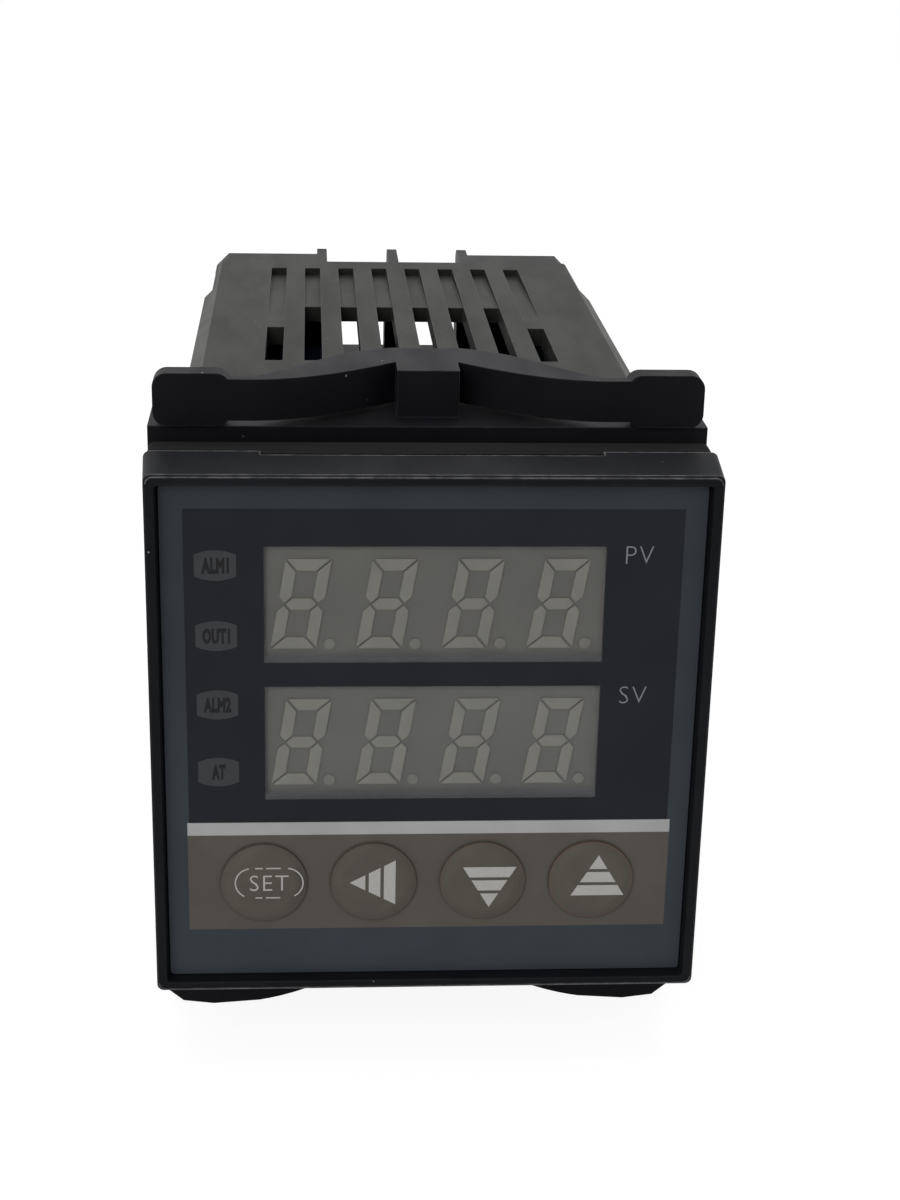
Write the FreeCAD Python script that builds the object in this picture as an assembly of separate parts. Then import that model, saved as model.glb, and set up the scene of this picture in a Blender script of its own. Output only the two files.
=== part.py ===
import FreeCAD, Part
import math
import os

# A panel-mounting temperature controller with a 48 mm square face, in millimetres.
# The origin is the centre of the seat behind the collar, the plane that meets the panel.
# +X is to the right seen from the front, +Y runs back into the panel and +Z is up.

os.makedirs("parts", exist_ok=True)

Vector = FreeCAD.Vector
BEYOND = 1.0  # how far a cutting tool passes through the face it opens

# Case: one moulded sleeve with a collar round its mouth and vents in its roof and floor.
CASE_SIDE = 44.6
CASE_WALL = 1.9
CASE_LENGTH = 84.0
CASE_CHAMFER = 1.5
WAIST_START = 70.0
WAIST_STEP = 0.66
COLLAR_LIP = 1.5
COLLAR_DEPTH = 3.3
COLLAR_RADIUS = 0.6

VENT_COLUMNS = 8
VENT_PITCH = 3.95
VENT_WIDTH = 1.8
VENT_FRONT = 34.5
VENT_REAR = 60.0
OUTER_VENT_REAR = 49.0
GROOVE_FRONT = 52.0
GROOVE_REAR = 80.0
GROOVE_DEPTH = 0.9

RAIL_START = 8.0
RAIL_HEIGHT = 1.2
RAIL_WIDTH = 0.8
RAIL_CLEARANCE = 0.2

# Bezel: the square front moulding that carries the film, the keys and the boards.
BEZEL_OVERHANG = 0.2
BEZEL_DEPTH = 5.7
BEZEL_DRAFT = 0.35
BEZEL_RADIUS = 0.6
BEZEL_EDGE = 0.2
RIM_WIDTH = 1.05
RIM_BEVEL = 0.15
RIM_HEIGHT = 1.0
BEZEL_WALL = 2.2
PANEL_THICKNESS = 1.35
CATCH_RECESS_WIDTH = 28.6
CATCH_RECESS_LENGTH = 0.9
CATCH_RECESS_DEPTH = 0.4
TONGUE_THICKNESS = 1.6
TONGUE_HEIGHT = 28.0
TONGUE_REACH = 6.0
TONGUE_CLEARANCE = 0.2
GRIP_HEIGHT = 2.0
GRIP_SPACING = 22.0
GRIP_CLEARANCE = 0.05
POST_SIDE = 2.0
POST_X = 9.8
POST_Z = 18.5

# Front film, glued to the bezel's panel inside the rim.
FILM_THICKNESS = 0.25
FILM_CLEARANCE = 0.1
FILM_RADIUS = 0.3

# Numeric displays: four slanted seven-segment digits in each.
DIGITS = 4
DIGIT_PITCH = 7.15
DIGIT_OFFSET = -0.25
DIGIT_WIDTH = 3.8
DIGIT_HEIGHT = 7.9
DIGIT_SLANT = math.radians(9.5)
SEGMENT_WIDTH = 1.0
SEGMENT_GAP = 0.14
SEGMENT_DEPTH = 0.15
POINT_RADIUS = 0.49
POINT_OFFSET = 2.95
POINT_LIFT = 0.4
DISPLAY_MARGIN = 1.2
DISPLAY_SIDE_MARGIN = 0.3
DISPLAY_CLEARANCE = 0.2
DISPLAY_SET_BACK = 0.05
UPPER_DISPLAY_Z = 12.1
LOWER_DISPLAY_Z = -0.4

# Indicator lamps in a column left of the displays.
LAMP_X = -17.2
LAMP_TOP_Z = 15.6
LAMP_PITCH = 6.2
LAMP_COUNT = 4
LAMP_WIDTH = 2.0
LAMP_HEIGHT = 1.8

# Keys: a round cap with a retaining flange, which pushes a switch plunger.
KEY_NAMES = ["set", "shift", "down", "up"]
KEY_PITCH = 9.5
KEY_Z = -13.5
KEY_RADIUS = 3.7
KEY_CLEARANCE = 0.15
KEY_DOME = 0.3
KEY_DOME_RADIUS = 2.7
KEY_PROUD = 0.25
KEY_FLANGE = 0.6
KEY_FLANGE_THICKNESS = 0.4
KEY_SLACK = 0.05
KEY_TRAVEL = 0.3
SWITCH_SIDE = 6.0
SWITCH_GAP = 0.15
PLUNGER_RADIUS = 1.6
PLUNGER_CLEARANCE = 0.3
PLUNGER_ENGAGEMENT = 0.9

# Printed circuit boards: one behind the front panel and one along each side.
BOARD_THICKNESS = 1.6
DISPLAY_BOARD_SETBACK = 4.4
DISPLAY_BOARD_MARGIN = 0.2
DISPLAY_BOARD_HEIGHT = 38.0
SIDE_BOARD_GAP = 2.8
SIDE_BOARD_REAR_GAP = 1.1
SIDE_BOARD_CLEARANCE = 0.3
BOARD_TAB_HEIGHT = 6.0
BOARD_TAB_SPACING = 20.0
BOARD_SLOT_CLEARANCE = 0.1
HEADER_HEIGHT = 12.0
HEADER_SIZE = 2.5

# Terminal base: the rear moulding, with a column of five terminals on each side.
BASE_THICKNESS = 4.4
BASE_CLEARANCE = 0.05
BASE_REACH = 4.7
TERMINAL_ROWS = 5
TERMINAL_PITCH = 8.4
BARRIER_THICKNESS = 1.4
FIN_THICKNESS = 1.2
FIN_REACH = 9.0
FIN_TIP_CHAMFER = 1.0
FIN_X = 8.7
MIDDLE_CELL_FLOOR = 10.2
MIDDLE_WINDOW_MARGIN = 0.6
CENTRE_PAD_HEIGHT = 1.5
LUG_LENGTH = 2.6
LUG_HEIGHT = 6.0
LUG_STEP = 0.9
LUG_Z = 14.0
LUG_CLEARANCE = 0.1

# Terminals: an M3 screw, a square washer and a contact that meets the side board.
SCREW_RADIUS = 1.5
SCREW_LENGTH = 4.6
SCREW_HEAD_RADIUS = 2.75
SCREW_HEAD_HEIGHT = 1.9
SCREW_HEAD_EDGE = 0.9
SCREW_HEAD_CROWN_RADIUS = 2.0
RECESS_LENGTH = 3.2
RECESS_WIDTH = 0.7
RECESS_DEPTH = 1.1
SCREW_BORE_CLEARANCE = 0.2
SCREW_BORE_DEPTH = 3.4
THREAD_CLEARANCE = 0.02
WASHER_SIDE = 6.4
WASHER_THICKNESS = 0.8
WASHER_CLEARANCE = 0.15
CONTACT_THICKNESS = 0.8
CONTACT_BLADE = 0.6
CONTACT_SIDE = 6.6
CONTACT_HEIGHT = 4.4
CONTACT_REACH = 14.0
CONTACT_GAP = 0.1
CONTACT_SLOT_CLEARANCE = 0.1

# Mounting bracket: a square sleeve with a bowed spring above and below.
BRACKET_FRONT = 2.1
BRACKET_LENGTH = 15.4
BRACKET_CLEARANCE = 0.2
BRACKET_SIDE_WALL = 1.5
BRACKET_TOP_WALL = 2.1
BOSS_HALF_WIDTH = 2.7
BOSS_FRONT = 5.1
BOSS_REAR = 13.3
BOW_ROOT_FRONT = 8.7
BOW_ROOT_REAR = 13.5
BOW_FRONT = 1.8
BOW_LIFT = 0.55
BOW_HEIGHT = 3.6
BOW_KNEE_X = 6.0
BOW_KNEE_FRONT = 5.5
BOW_KNEE_REAR = 12.0
BOW_SHOULDER_X = 10.8
BOW_SHOULDER_FRONT = 2.7
BOW_SHOULDER_REAR = 7.2
BOW_NECK_X = 15.0
BOW_NECK_THICKNESS = 1.2
PADDLE_INNER_X = 16.9
PADDLE_OUTER_X = 23.5
PADDLE_THICKNESS = 2.2
PADDLE_DROP = 0.5
PADDLE_RISE = 0.5
PADDLE_RADIUS = 1.2
LOWER_BOW_EDGE = [[0.46, 1.75], [0.64, 2.35], [0.82, 2.65], [0.94, 2.3], [1.0, 1.1]]

# Parts on the power board. Each height stands inwards from the board.
TRANSFORMER_Z = -7.0
CORE_LENGTH = 16.0
CORE_HEIGHT = 15.0
CORE_THICKNESS = 4.4
CORE_LIMB = 2.6
CORE_CENTRE_LIMB = 4.4
BOBBIN_WALL = 0.7
BOBBIN_CLEARANCE = 0.05
BOBBIN_FLANGE_MARGIN = 0.3
BOBBIN_FOOT = 0.4
WINDING_MARGIN = 0.3
CAPACITOR_RADIUS = 4.0
CAPACITOR_HEIGHT = 7.6
CAPACITOR_BEVEL = 0.35
CAPACITOR_Z = [-12.0, -2.0, 8.0]
RECTIFIER_SIZE = [8.3, 6.4, 3.4]
RECTIFIER_Z = -12.0
REGULATOR_SIZE = [9.2, 10.0, 3.2]
REGULATOR_TAB = [6.4, 1.3]
REGULATOR_HOLE_RADIUS = 1.8
REGULATOR_PLACE = [16.5, 9.0]
OUTPUT_RELAY_SIZE = [20.0, 12.0, 7.6]
OUTPUT_RELAY_Z = 8.0
FILM_CAPACITOR_SIZE = [13.0, 5.0, 7.0]
FILM_CAPACITOR_Z = -8.0
POWER_GAP_SHARES = [0.302, 0.163, 0.233, 0.139, 0.163]

# Parts on the control board.
CONTROLLER_SIDE = 10.0
CONTROLLER_HEIGHT = 1.6
CONTROLLER_PLACE = [26.0, 3.0]
CONTROLLER_LEAD_COUNT = 8
CONTROLLER_LEAD_PITCH = 1.1
CONVERTER_SIZE = [10.3, 7.5, 2.3]
CONVERTER_Z = -5.0
CONVERTER_GAP = 6.85
CONVERTER_LEAD_COUNT = 8
MEMORY_SIZE = [9.4, 6.4, 3.3]
MEMORY_PLACE = [40.0, 12.0]
MEMORY_LEAD_COUNT = 4
LEAD_PITCH = 1.27
MEMORY_LEAD_PITCH = 2.54
LEAD_WIDTH = 0.45
LEAD_REACH = 1.0
LEAD_THICKNESS = 0.25
CRYSTAL_LENGTH = 10.8
CRYSTAL_WIDTH = 4.6
CRYSTAL_HEIGHT = 3.6
CRYSTAL_PLACE = [26.0, -11.0]
ALARM_RELAY_SIZE = [15.0, 10.0, 7.4]
ALARM_RELAY_Z = [-9.0, 9.0]
REAR_PART_MARGIN = 3.5
DRIVER_SIZE = [10.3, 7.5, 2.3]
DRIVER_X = [-7.0, 7.0]
BODY_CHAMFER = 0.4
ROOT_OVERLAP = 0.5
SMALL_ROUND_SIDES = 12

# Faces and centres that several pieces share.
case_half = CASE_SIDE / 2
bore_half = case_half - CASE_WALL
waist_half = case_half - WAIST_STEP
collar_half = case_half + COLLAR_LIP
collar_front = -COLLAR_DEPTH
face_half = collar_half + BEZEL_OVERHANG
face_front = collar_front - BEZEL_DEPTH
film_front = face_front + RIM_HEIGHT
panel_front = film_front + FILM_THICKNESS
panel_rear = panel_front + PANEL_THICKNESS
window_half = face_half - BEZEL_DRAFT - RIM_WIDTH
display_board_front = panel_rear + DISPLAY_BOARD_SETBACK
display_board_rear = display_board_front + BOARD_THICKNESS
display_front = panel_front + DISPLAY_SET_BACK
display_width = DIGITS * DIGIT_PITCH + 2 * DISPLAY_SIDE_MARGIN
display_height = DIGIT_HEIGHT + 2 * DISPLAY_MARGIN
tongue_outer = bore_half - TONGUE_CLEARANCE
tongue_inner = tongue_outer - TONGUE_THICKNESS
board_outer = bore_half - SIDE_BOARD_GAP
board_inner = board_outer - BOARD_THICKNESS
base_front = CASE_LENGTH - BASE_THICKNESS
board_rear = base_front - SIDE_BOARD_REAR_GAP
power_lengths = [FILM_CAPACITOR_SIZE[0], CORE_LENGTH, 2 * CAPACITOR_RADIUS, OUTPUT_RELAY_SIZE[0]]
power_spare = board_rear - sum(power_lengths)
film_capacitor_y = power_spare * POWER_GAP_SHARES[0] + FILM_CAPACITOR_SIZE[0] / 2
transformer_front = power_spare * sum(POWER_GAP_SHARES[:2]) + sum(power_lengths[:1])
transformer_y = transformer_front + CORE_LENGTH / 2
capacitor_front = power_spare * sum(POWER_GAP_SHARES[:3]) + sum(power_lengths[:2])
capacitor_y = capacitor_front + CAPACITOR_RADIUS
alarm_relay_front = board_rear - REAR_PART_MARGIN - ALARM_RELAY_SIZE[0]
converter_y = alarm_relay_front - CONVERTER_GAP - CONVERTER_SIZE[0] / 2
base_half = bore_half - BASE_CLEARANCE
base_rear = CASE_LENGTH + BASE_REACH
terminal_x = (FIN_X + FIN_THICKNESS / 2 + base_half) / 2
blade_inner = board_outer + CONTACT_GAP
contact_rear = CASE_LENGTH + CONTACT_THICKNESS
washer_rear = contact_rear + WASHER_THICKNESS
key_flange_front = panel_rear + KEY_SLACK
key_rear = key_flange_front + KEY_FLANGE_THICKNESS
switch_front = key_rear + KEY_TRAVEL + SWITCH_GAP
bracket_bore = case_half + BRACKET_CLEARANCE
bracket_top = bracket_bore + BRACKET_TOP_WALL
bow_bottom = bracket_top + BOW_LIFT
bow_top = bow_bottom + BOW_HEIGHT
LEFT = -1
RIGHT = 1
SIDES = [LEFT, RIGHT]


def span(middle, size):
    """Return the low and high ends of a length centred on a place."""
    return (middle - size / 2, middle + size / 2)


def ordered(first, second):
    """Return two values, lowest first."""
    return (min(first, second), max(first, second))


def block(x, y, z):
    """Return a box between three pairs of low and high values."""
    corner = Vector(x[0], y[0], z[0])
    return Part.makeBox(x[1] - x[0], y[1] - y[0], z[1] - z[0], corner)


def edges_along(solid, axis):
    """Return the straight edges of a solid that run along an axis."""
    found = []
    for edge in solid.Edges:
        start = edge.Vertexes[0].Point
        run = edge.Vertexes[-1].Point - start
        if run.Length > 0 and abs(run.dot(axis)) > 0.999 * run.Length:
            found.append(edge)
    return found


def rounded_block(x, y, z, radius, axis):
    """Return a box whose four edges along an axis are rounded."""
    solid = block(x, y, z)
    return solid.makeFillet(radius, edges_along(solid, axis))


def chamfered_block(x, y, z, size):
    """Return a box whose four edges along the depth are chamfered."""
    solid = block(x, y, z)
    return solid.makeChamfer(size, edges_along(solid, Vector(0, 1, 0)))


def square_wire(half, y, radius):
    """Return a square outline with rounded corners, facing along the depth."""
    plate = rounded_block((-half, half), (y, y + BEYOND), (-half, half), radius, Vector(0, 1, 0))
    for face in plate.Faces:
        if abs(face.CenterOfMass.y - y) < 1e-6:
            return face.OuterWire
    return None


def tapered_square(sections, radius):
    """Return a square form along the depth with rounded corners; sections are (half side, y)."""
    wires = [square_wire(half, y, radius) for half, y in sections]
    return Part.makeLoft(wires, True, True)


def disc(x, z, radius, front, rear):
    """Return a cylinder along the depth."""
    return Part.makeCylinder(radius, rear - front, Vector(x, front, z), Vector(0, 1, 0))


def small_stack(x, z, rings):
    """Return a slim turned form with a few flat sides; rings are (radius, y)."""
    wires = []
    for radius, y in rings:
        corners = []
        for index in range(SMALL_ROUND_SIDES):
            angle = 2 * math.pi * (index + 0.5) / SMALL_ROUND_SIDES
            corners.append(Vector(x + radius * math.cos(angle), y, z + radius * math.sin(angle)))
        wires.append(Part.makePolygon(corners + [corners[0]]))
    return Part.makeLoft(wires, True, True)


def small_round(x, z, radius, front, rear):
    """Return a slim round bar along the depth, drawn with a few flat sides."""
    return small_stack(x, z, [(radius, front), (radius, rear)])


def prism(points, lift):
    """Return the solid that a closed outline sweeps along a straight line."""
    wire = Part.makePolygon(points + [points[0]])
    return Part.Face(wire).extrude(lift)


def turned(points, x, z):
    """Return a solid of revolution about an axis along the depth; points are (radius, y)."""
    outline = [Vector(radius, y, 0) for radius, y in points]
    wire = Part.makePolygon(outline + [outline[0]])
    solid = Part.Face(wire).revolve(Vector(0, 0, 0), Vector(0, 1, 0), 360)
    solid.translate(Vector(x, 0, z))
    return solid


def joined(solids):
    """Return several solids fused into one, without leftover seams."""
    return solids[0].fuse(solids[1:]).removeSplitter()


def without(solid, tools):
    """Return a solid with several tools cut out of it."""
    return solid.cut(Part.makeCompound(tools))


def seated_block(side, place, size):
    """Return a part that stands inwards from a side board; size is depth, height, lift."""
    x = ordered(side * board_inner, side * (board_inner - size[2]))
    solid = block(x, span(place[0], size[0]), span(place[1], size[1]))
    return solid.makeChamfer(BODY_CHAMFER, edges_along(solid, Vector(1, 0, 0)))


def rear_place(length, height):
    """Return the place of a part of some length that stands at the rear of a side board."""
    return [board_rear - REAR_PART_MARGIN - length / 2, height]


def key_places():
    """Return the name and sideways place of each key."""
    middle = (len(KEY_NAMES) - 1) / 2
    return [(name, (index - middle) * KEY_PITCH) for index, name in enumerate(KEY_NAMES)]


def lamp_heights():
    """Return the height of each indicator lamp."""
    return [LAMP_TOP_Z - index * LAMP_PITCH for index in range(LAMP_COUNT)]


def vent_places():
    """Return the sideways place and rear end of each vent."""
    middle = (VENT_COLUMNS - 1) / 2
    places = []
    for index in range(VENT_COLUMNS):
        is_outer = index in (0, VENT_COLUMNS - 1)
        rear = OUTER_VENT_REAR if is_outer else VENT_REAR
        places.append(((index - middle) * VENT_PITCH, rear))
    return places


def terminal_places():
    """Return the side, sideways place and height of each terminal."""
    middle = (TERMINAL_ROWS - 1) / 2
    heights = [(row - middle) * TERMINAL_PITCH for row in range(TERMINAL_ROWS)]
    return [(side, side * terminal_x, height) for side in SIDES for height in heights]


def vent_cuts():
    """Return the slots through the roof and floor, and the ramped grooves behind them."""
    cuts = []
    for x, rear in vent_places():
        for side in SIDES:
            skin = ordered(side * (bore_half - BEYOND), side * (case_half + BEYOND))
            cuts.append(block(span(x, VENT_WIDTH), (VENT_FRONT, rear), skin))
            outside = side * (case_half + BEYOND)
            ramp = [
                Vector(x - VENT_WIDTH / 2, GROOVE_FRONT, side * case_half),
                Vector(x - VENT_WIDTH / 2, GROOVE_REAR, side * (case_half - GROOVE_DEPTH)),
                Vector(x - VENT_WIDTH / 2, GROOVE_REAR, outside),
                Vector(x - VENT_WIDTH / 2, GROOVE_FRONT, outside),
            ]
            cuts.append(prism(ramp, Vector(VENT_WIDTH, 0, 0)))
    return cuts


def board_rails():
    """Return the rails inside the roof and floor that guide the side boards."""
    rails = []
    for side in SIDES:
        inner_face = board_inner - RAIL_CLEARANCE
        outer_face = board_outer + RAIL_CLEARANCE
        for across in [(inner_face - RAIL_WIDTH, inner_face), (outer_face, outer_face + RAIL_WIDTH)]:
            x = ordered(side * across[0], side * across[1])
            for floor in SIDES:
                z = ordered(floor * (bore_half - RAIL_HEIGHT), floor * (bore_half + CASE_WALL / 2))
                rails.append(block(x, (RAIL_START, base_front), z))
    return rails


def lug_windows():
    """Return the openings in the case's cheeks that hold the terminal base's lugs."""
    windows = []
    for side in SIDES:
        for height in [-LUG_Z, LUG_Z]:
            x = ordered(side * (bore_half - BEYOND), side * (case_half + BEYOND))
            y = span(base_front + BASE_THICKNESS / 2, LUG_LENGTH + 2 * LUG_CLEARANCE)
            windows.append(block(x, y, span(height, LUG_HEIGHT + 2 * LUG_CLEARANCE)))
    return windows


def case():
    """Return the sleeve: a collar, a chamfered body with a narrower rear, vents and rails."""
    whole = (-case_half, case_half)
    body = chamfered_block(whole, (0, CASE_LENGTH), whole, CASE_CHAMFER)
    cheeks = []
    for side in SIDES:
        x = ordered(side * waist_half, side * (case_half + BEYOND))
        cheeks.append(block(x, (WAIST_START, CASE_LENGTH + BEYOND), (-case_half, case_half)))
    body = without(body, cheeks)
    waist = [edge for edge in edges_along(body, Vector(0, 1, 0)) if is_waist_corner(edge)]
    body = body.makeChamfer(CASE_CHAMFER - WAIST_STEP, waist)
    collar_span = (-collar_half, collar_half)
    collar = rounded_block(collar_span, (collar_front, 0), collar_span, COLLAR_RADIUS, Vector(0, 1, 0))
    shell = body.fuse(collar)
    bore_span = (-bore_half, bore_half)
    bore = block(bore_span, (collar_front - BEYOND, CASE_LENGTH + BEYOND), bore_span)
    shell = without(shell, [bore] + vent_cuts() + lug_windows())
    return joined([shell] + board_rails())


def is_waist_corner(edge):
    """Tell whether an edge is one of the four corners of the narrower rear."""
    middle = edge.CenterOfMass
    on_cheek = abs(abs(middle.x) - waist_half) < 1e-6
    on_chamfer = abs(middle.z) > case_half - CASE_CHAMFER - BEYOND
    return on_cheek and on_chamfer and middle.y > WAIST_START


def side_cells():
    """Return the spaces of the ten terminals, open to the rear and to the side."""
    cells = []
    for side, x, height in terminal_places():
        inner = side * (FIN_X + FIN_THICKNESS / 2)
        across = ordered(inner, side * (case_half + BEYOND))
        opening = span(height, TERMINAL_PITCH - BARRIER_THICKNESS)
        cells.append(block(across, (CASE_LENGTH, base_rear + FIN_REACH), opening))
    return cells


def middle_cells():
    """Return the four cells between the fins, open to the rear and through the base."""
    cuts = []
    for side in SIDES:
        across = ordered(side * FIN_THICKNESS / 2, side * (FIN_X - FIN_THICKNESS / 2))
        window = (across[0] + MIDDLE_WINDOW_MARGIN, across[1] - MIDDLE_WINDOW_MARGIN)
        for floor in SIDES:
            low = MIDDLE_CELL_FLOOR + BARRIER_THICKNESS / 2
            high = case_half + BEYOND
            up = ordered(floor * low, floor * high)
            through = ordered(floor * low, floor * (base_half - MIDDLE_WINDOW_MARGIN))
            cuts.append(block(across, (CASE_LENGTH, base_rear + FIN_REACH), up))
            cuts.append(block(window, (base_front - BEYOND, CASE_LENGTH + BEYOND), through))
    return cuts


def fins():
    """Return the upright barriers that reach back beyond the terminals."""
    rear = CASE_LENGTH + FIN_REACH
    solids = []
    for x in [-FIN_X, 0.0, FIN_X]:
        fin = block(span(x, FIN_THICKNESS), (CASE_LENGTH, rear), (-case_half, case_half))
        tips = [edge for edge in edges_along(fin, Vector(1, 0, 0)) if edge.CenterOfMass.y > CASE_LENGTH]
        solids.append(fin.makeChamfer(FIN_TIP_CHAMFER, tips))
    return solids


def terminal_base():
    """Return the rear moulding with its plug, cells, fins, bores and lugs."""
    plug = block((-base_half, base_half), (base_front, CASE_LENGTH), (-base_half, base_half))
    outer_x = (-waist_half, waist_half)
    outer_z = (-case_half, case_half)
    block_behind = chamfered_block(outer_x, (CASE_LENGTH, base_rear), outer_z, CASE_CHAMFER)
    middle_x = FIN_X - FIN_THICKNESS / 2
    middle_z = MIDDLE_CELL_FLOOR - BARRIER_THICKNESS / 2
    hollow_y = (CASE_LENGTH + CENTRE_PAD_HEIGHT, base_rear + FIN_REACH)
    centre = block((-middle_x, middle_x), hollow_y, (-middle_z, middle_z))
    body = joined([plug, block_behind] + fins())
    cuts = side_cells() + middle_cells() + [centre]
    for side, x, height in terminal_places():
        bore = SCREW_RADIUS + SCREW_BORE_CLEARANCE
        cuts.append(small_round(x, height, bore, CASE_LENGTH - SCREW_BORE_DEPTH, CASE_LENGTH + BEYOND))
        blade = (blade_inner - CONTACT_SLOT_CLEARANCE, blade_inner + CONTACT_BLADE + CONTACT_SLOT_CLEARANCE)
        across = ordered(side * blade[0], side * blade[1])
        opening = span(height, CONTACT_HEIGHT + 2 * CONTACT_SLOT_CLEARANCE)
        cuts.append(block(across, (base_front - BEYOND, CASE_LENGTH + BEYOND), opening))
    body = without(body, cuts)
    lugs = []
    for side in SIDES:
        for height in [-LUG_Z, LUG_Z]:
            x = ordered(side * (base_half - LUG_STEP), side * (base_half + LUG_STEP))
            y = span(base_front + BASE_THICKNESS / 2, LUG_LENGTH)
            lugs.append(block(x, y, span(height, LUG_HEIGHT)))
    return joined([body] + lugs)


def terminal_contacts():
    """Return ten contacts: a drilled seat under the screw and a blade along the board."""
    contacts = []
    for side, x, height in terminal_places():
        outer = blade_inner + CONTACT_BLADE
        seat_x = ordered(side * outer, x - side * CONTACT_SIDE / 2)
        seat = block(seat_x, (CASE_LENGTH, contact_rear), span(height, CONTACT_SIDE))
        blade_x = ordered(side * blade_inner, side * outer)
        blade_y = (base_front - CONTACT_REACH, contact_rear)
        blade = block(blade_x, blade_y, span(height, CONTACT_HEIGHT))
        radius = SCREW_RADIUS + THREAD_CLEARANCE
        hole = small_round(x, height, radius, CASE_LENGTH - BEYOND, contact_rear + BEYOND)
        contacts.append(joined([seat, blade]).cut(hole))
    return Part.makeCompound(contacts)


def terminal_washers():
    """Return ten square clamping washers."""
    washers = []
    for side, x, height in terminal_places():
        plate_y = (contact_rear, washer_rear)
        plate = chamfered_block(span(x, WASHER_SIDE), plate_y, span(height, WASHER_SIDE), BODY_CHAMFER)
        radius = SCREW_RADIUS + WASHER_CLEARANCE
        hole = small_round(x, height, radius, contact_rear - BEYOND, washer_rear + BEYOND)
        washers.append(plate.cut(hole))
    return Part.makeCompound(washers)


def terminal_screws():
    """Return ten pan-head screws with a cross recess."""
    head_rear = washer_rear + SCREW_HEAD_HEIGHT
    head_rings = [
        (SCREW_HEAD_RADIUS, washer_rear),
        (SCREW_HEAD_RADIUS, washer_rear + SCREW_HEAD_EDGE),
        (SCREW_HEAD_CROWN_RADIUS, head_rear),
    ]
    screws = []
    for side, x, height in terminal_places():
        shank = small_round(x, height, SCREW_RADIUS, washer_rear - SCREW_LENGTH, washer_rear)
        recess_y = (head_rear - RECESS_DEPTH, head_rear + BEYOND)
        bars = [
            block(span(x, RECESS_LENGTH), recess_y, span(height, RECESS_WIDTH)),
            block(span(x, RECESS_WIDTH), recess_y, span(height, RECESS_LENGTH)),
        ]
        head = small_stack(x, height, head_rings).cut(bars[0].fuse(bars[1]))
        screws.append(joined([shank, head]))
    return Part.makeCompound(screws)


def bezel():
    """Return the front moulding: drafted frame, drilled panel, posts and board tongues."""
    front_half = face_half - BEZEL_DRAFT
    outside = [(front_half - BEZEL_EDGE, face_front), (front_half, face_front + BEZEL_EDGE)]
    body = tapered_square(outside + [(face_half, collar_front)], BEZEL_RADIUS)
    recess = tapered_square([(window_half + RIM_BEVEL, face_front), (window_half, panel_front)], FILM_RADIUS)
    hollow_half = face_half - BEZEL_WALL
    hollow_span = (-hollow_half, hollow_half)
    hollow = block(hollow_span, (panel_rear, collar_front + BEYOND), hollow_span)
    panel = (panel_front - BEYOND, panel_rear + BEYOND)
    cuts = [recess, hollow]
    for height in [UPPER_DISPLAY_Z, LOWER_DISPLAY_Z]:
        wide = display_width + 2 * DISPLAY_CLEARANCE
        tall = display_height + 2 * DISPLAY_CLEARANCE
        cuts.append(block(span(0, wide), panel, span(height, tall)))
    for height in lamp_heights():
        wide = LAMP_WIDTH + 2 * DISPLAY_CLEARANCE
        tall = LAMP_HEIGHT + 2 * DISPLAY_CLEARANCE
        cuts.append(block(span(LAMP_X, wide), panel, span(height, tall)))
    for name, x in key_places():
        cuts.append(disc(x, KEY_Z, KEY_RADIUS + KEY_CLEARANCE, panel[0], panel[1]))
    for side in SIDES:
        z = ordered(side * (face_half - CATCH_RECESS_DEPTH), side * (face_half + BEYOND))
        y = (collar_front - CATCH_RECESS_LENGTH, collar_front + BEYOND)
        cuts.append(block(span(0, CATCH_RECESS_WIDTH), y, z))
    body = without(body, cuts)
    added = []
    for side in SIDES:
        x = ordered(side * tongue_inner, side * tongue_outer)
        added.append(block(x, (panel_rear, TONGUE_REACH), span(0, TONGUE_HEIGHT)))
        grip_x = ordered(side * (board_outer + GRIP_CLEARANCE), side * tongue_inner)
        for height in [-GRIP_SPACING / 2, GRIP_SPACING / 2]:
            grip_y = (display_board_rear + BOARD_SLOT_CLEARANCE, TONGUE_REACH)
            added.append(block(grip_x, grip_y, span(height, GRIP_HEIGHT)))
        for post_side in SIDES:
            post_y = (panel_rear, display_board_front)
            added.append(block(span(side * POST_X, POST_SIDE), post_y, span(post_side * POST_Z, POST_SIDE)))
    reliefs = []
    for name, x in key_places():
        radius = KEY_RADIUS + KEY_FLANGE + KEY_CLEARANCE
        reliefs.append(disc(x, KEY_Z, radius, panel_rear, switch_front))
    return joined([body] + [without(piece, reliefs) for piece in added])


def front_film():
    """Return the film with four key holes."""
    half = window_half - FILM_CLEARANCE
    film_span = (-half, half)
    film = rounded_block(film_span, (film_front, panel_front), film_span, FILM_RADIUS, Vector(0, 1, 0))
    holes = []
    for name, x in key_places():
        holes.append(disc(x, KEY_Z, KEY_RADIUS + KEY_CLEARANCE, film_front - BEYOND, panel_front + BEYOND))
    return without(film, holes)


def segment_outlines():
    """Return the seven upright segment outlines about a digit's centre, mitred at the corners."""
    side = DIGIT_WIDTH / 2
    end = DIGIT_HEIGHT / 2
    wide = SEGMENT_WIDTH
    tip = SEGMENT_WIDTH / 2
    gap = SEGMENT_GAP
    reach = side - tip - gap
    outlines = [[
        (-reach, 0.0), (-reach + tip, tip), (reach - tip, tip),
        (reach, 0.0), (reach - tip, -tip), (-reach + tip, -tip),
    ]]
    for up in SIDES:
        outlines.append([
            (gap - side, up * end), (side - gap, up * end),
            (side - gap - wide, up * (end - wide)), (gap - side + wide, up * (end - wide)),
        ])
        for out in SIDES:
            outlines.append([
                (out * side, up * (end - gap)), (out * side, up * (tip + gap)),
                (out * (side - tip), up * gap), (out * (side - wide), up * (tip + gap)),
                (out * (side - wide), up * (end - wide - gap)),
            ])
    return outlines


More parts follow.
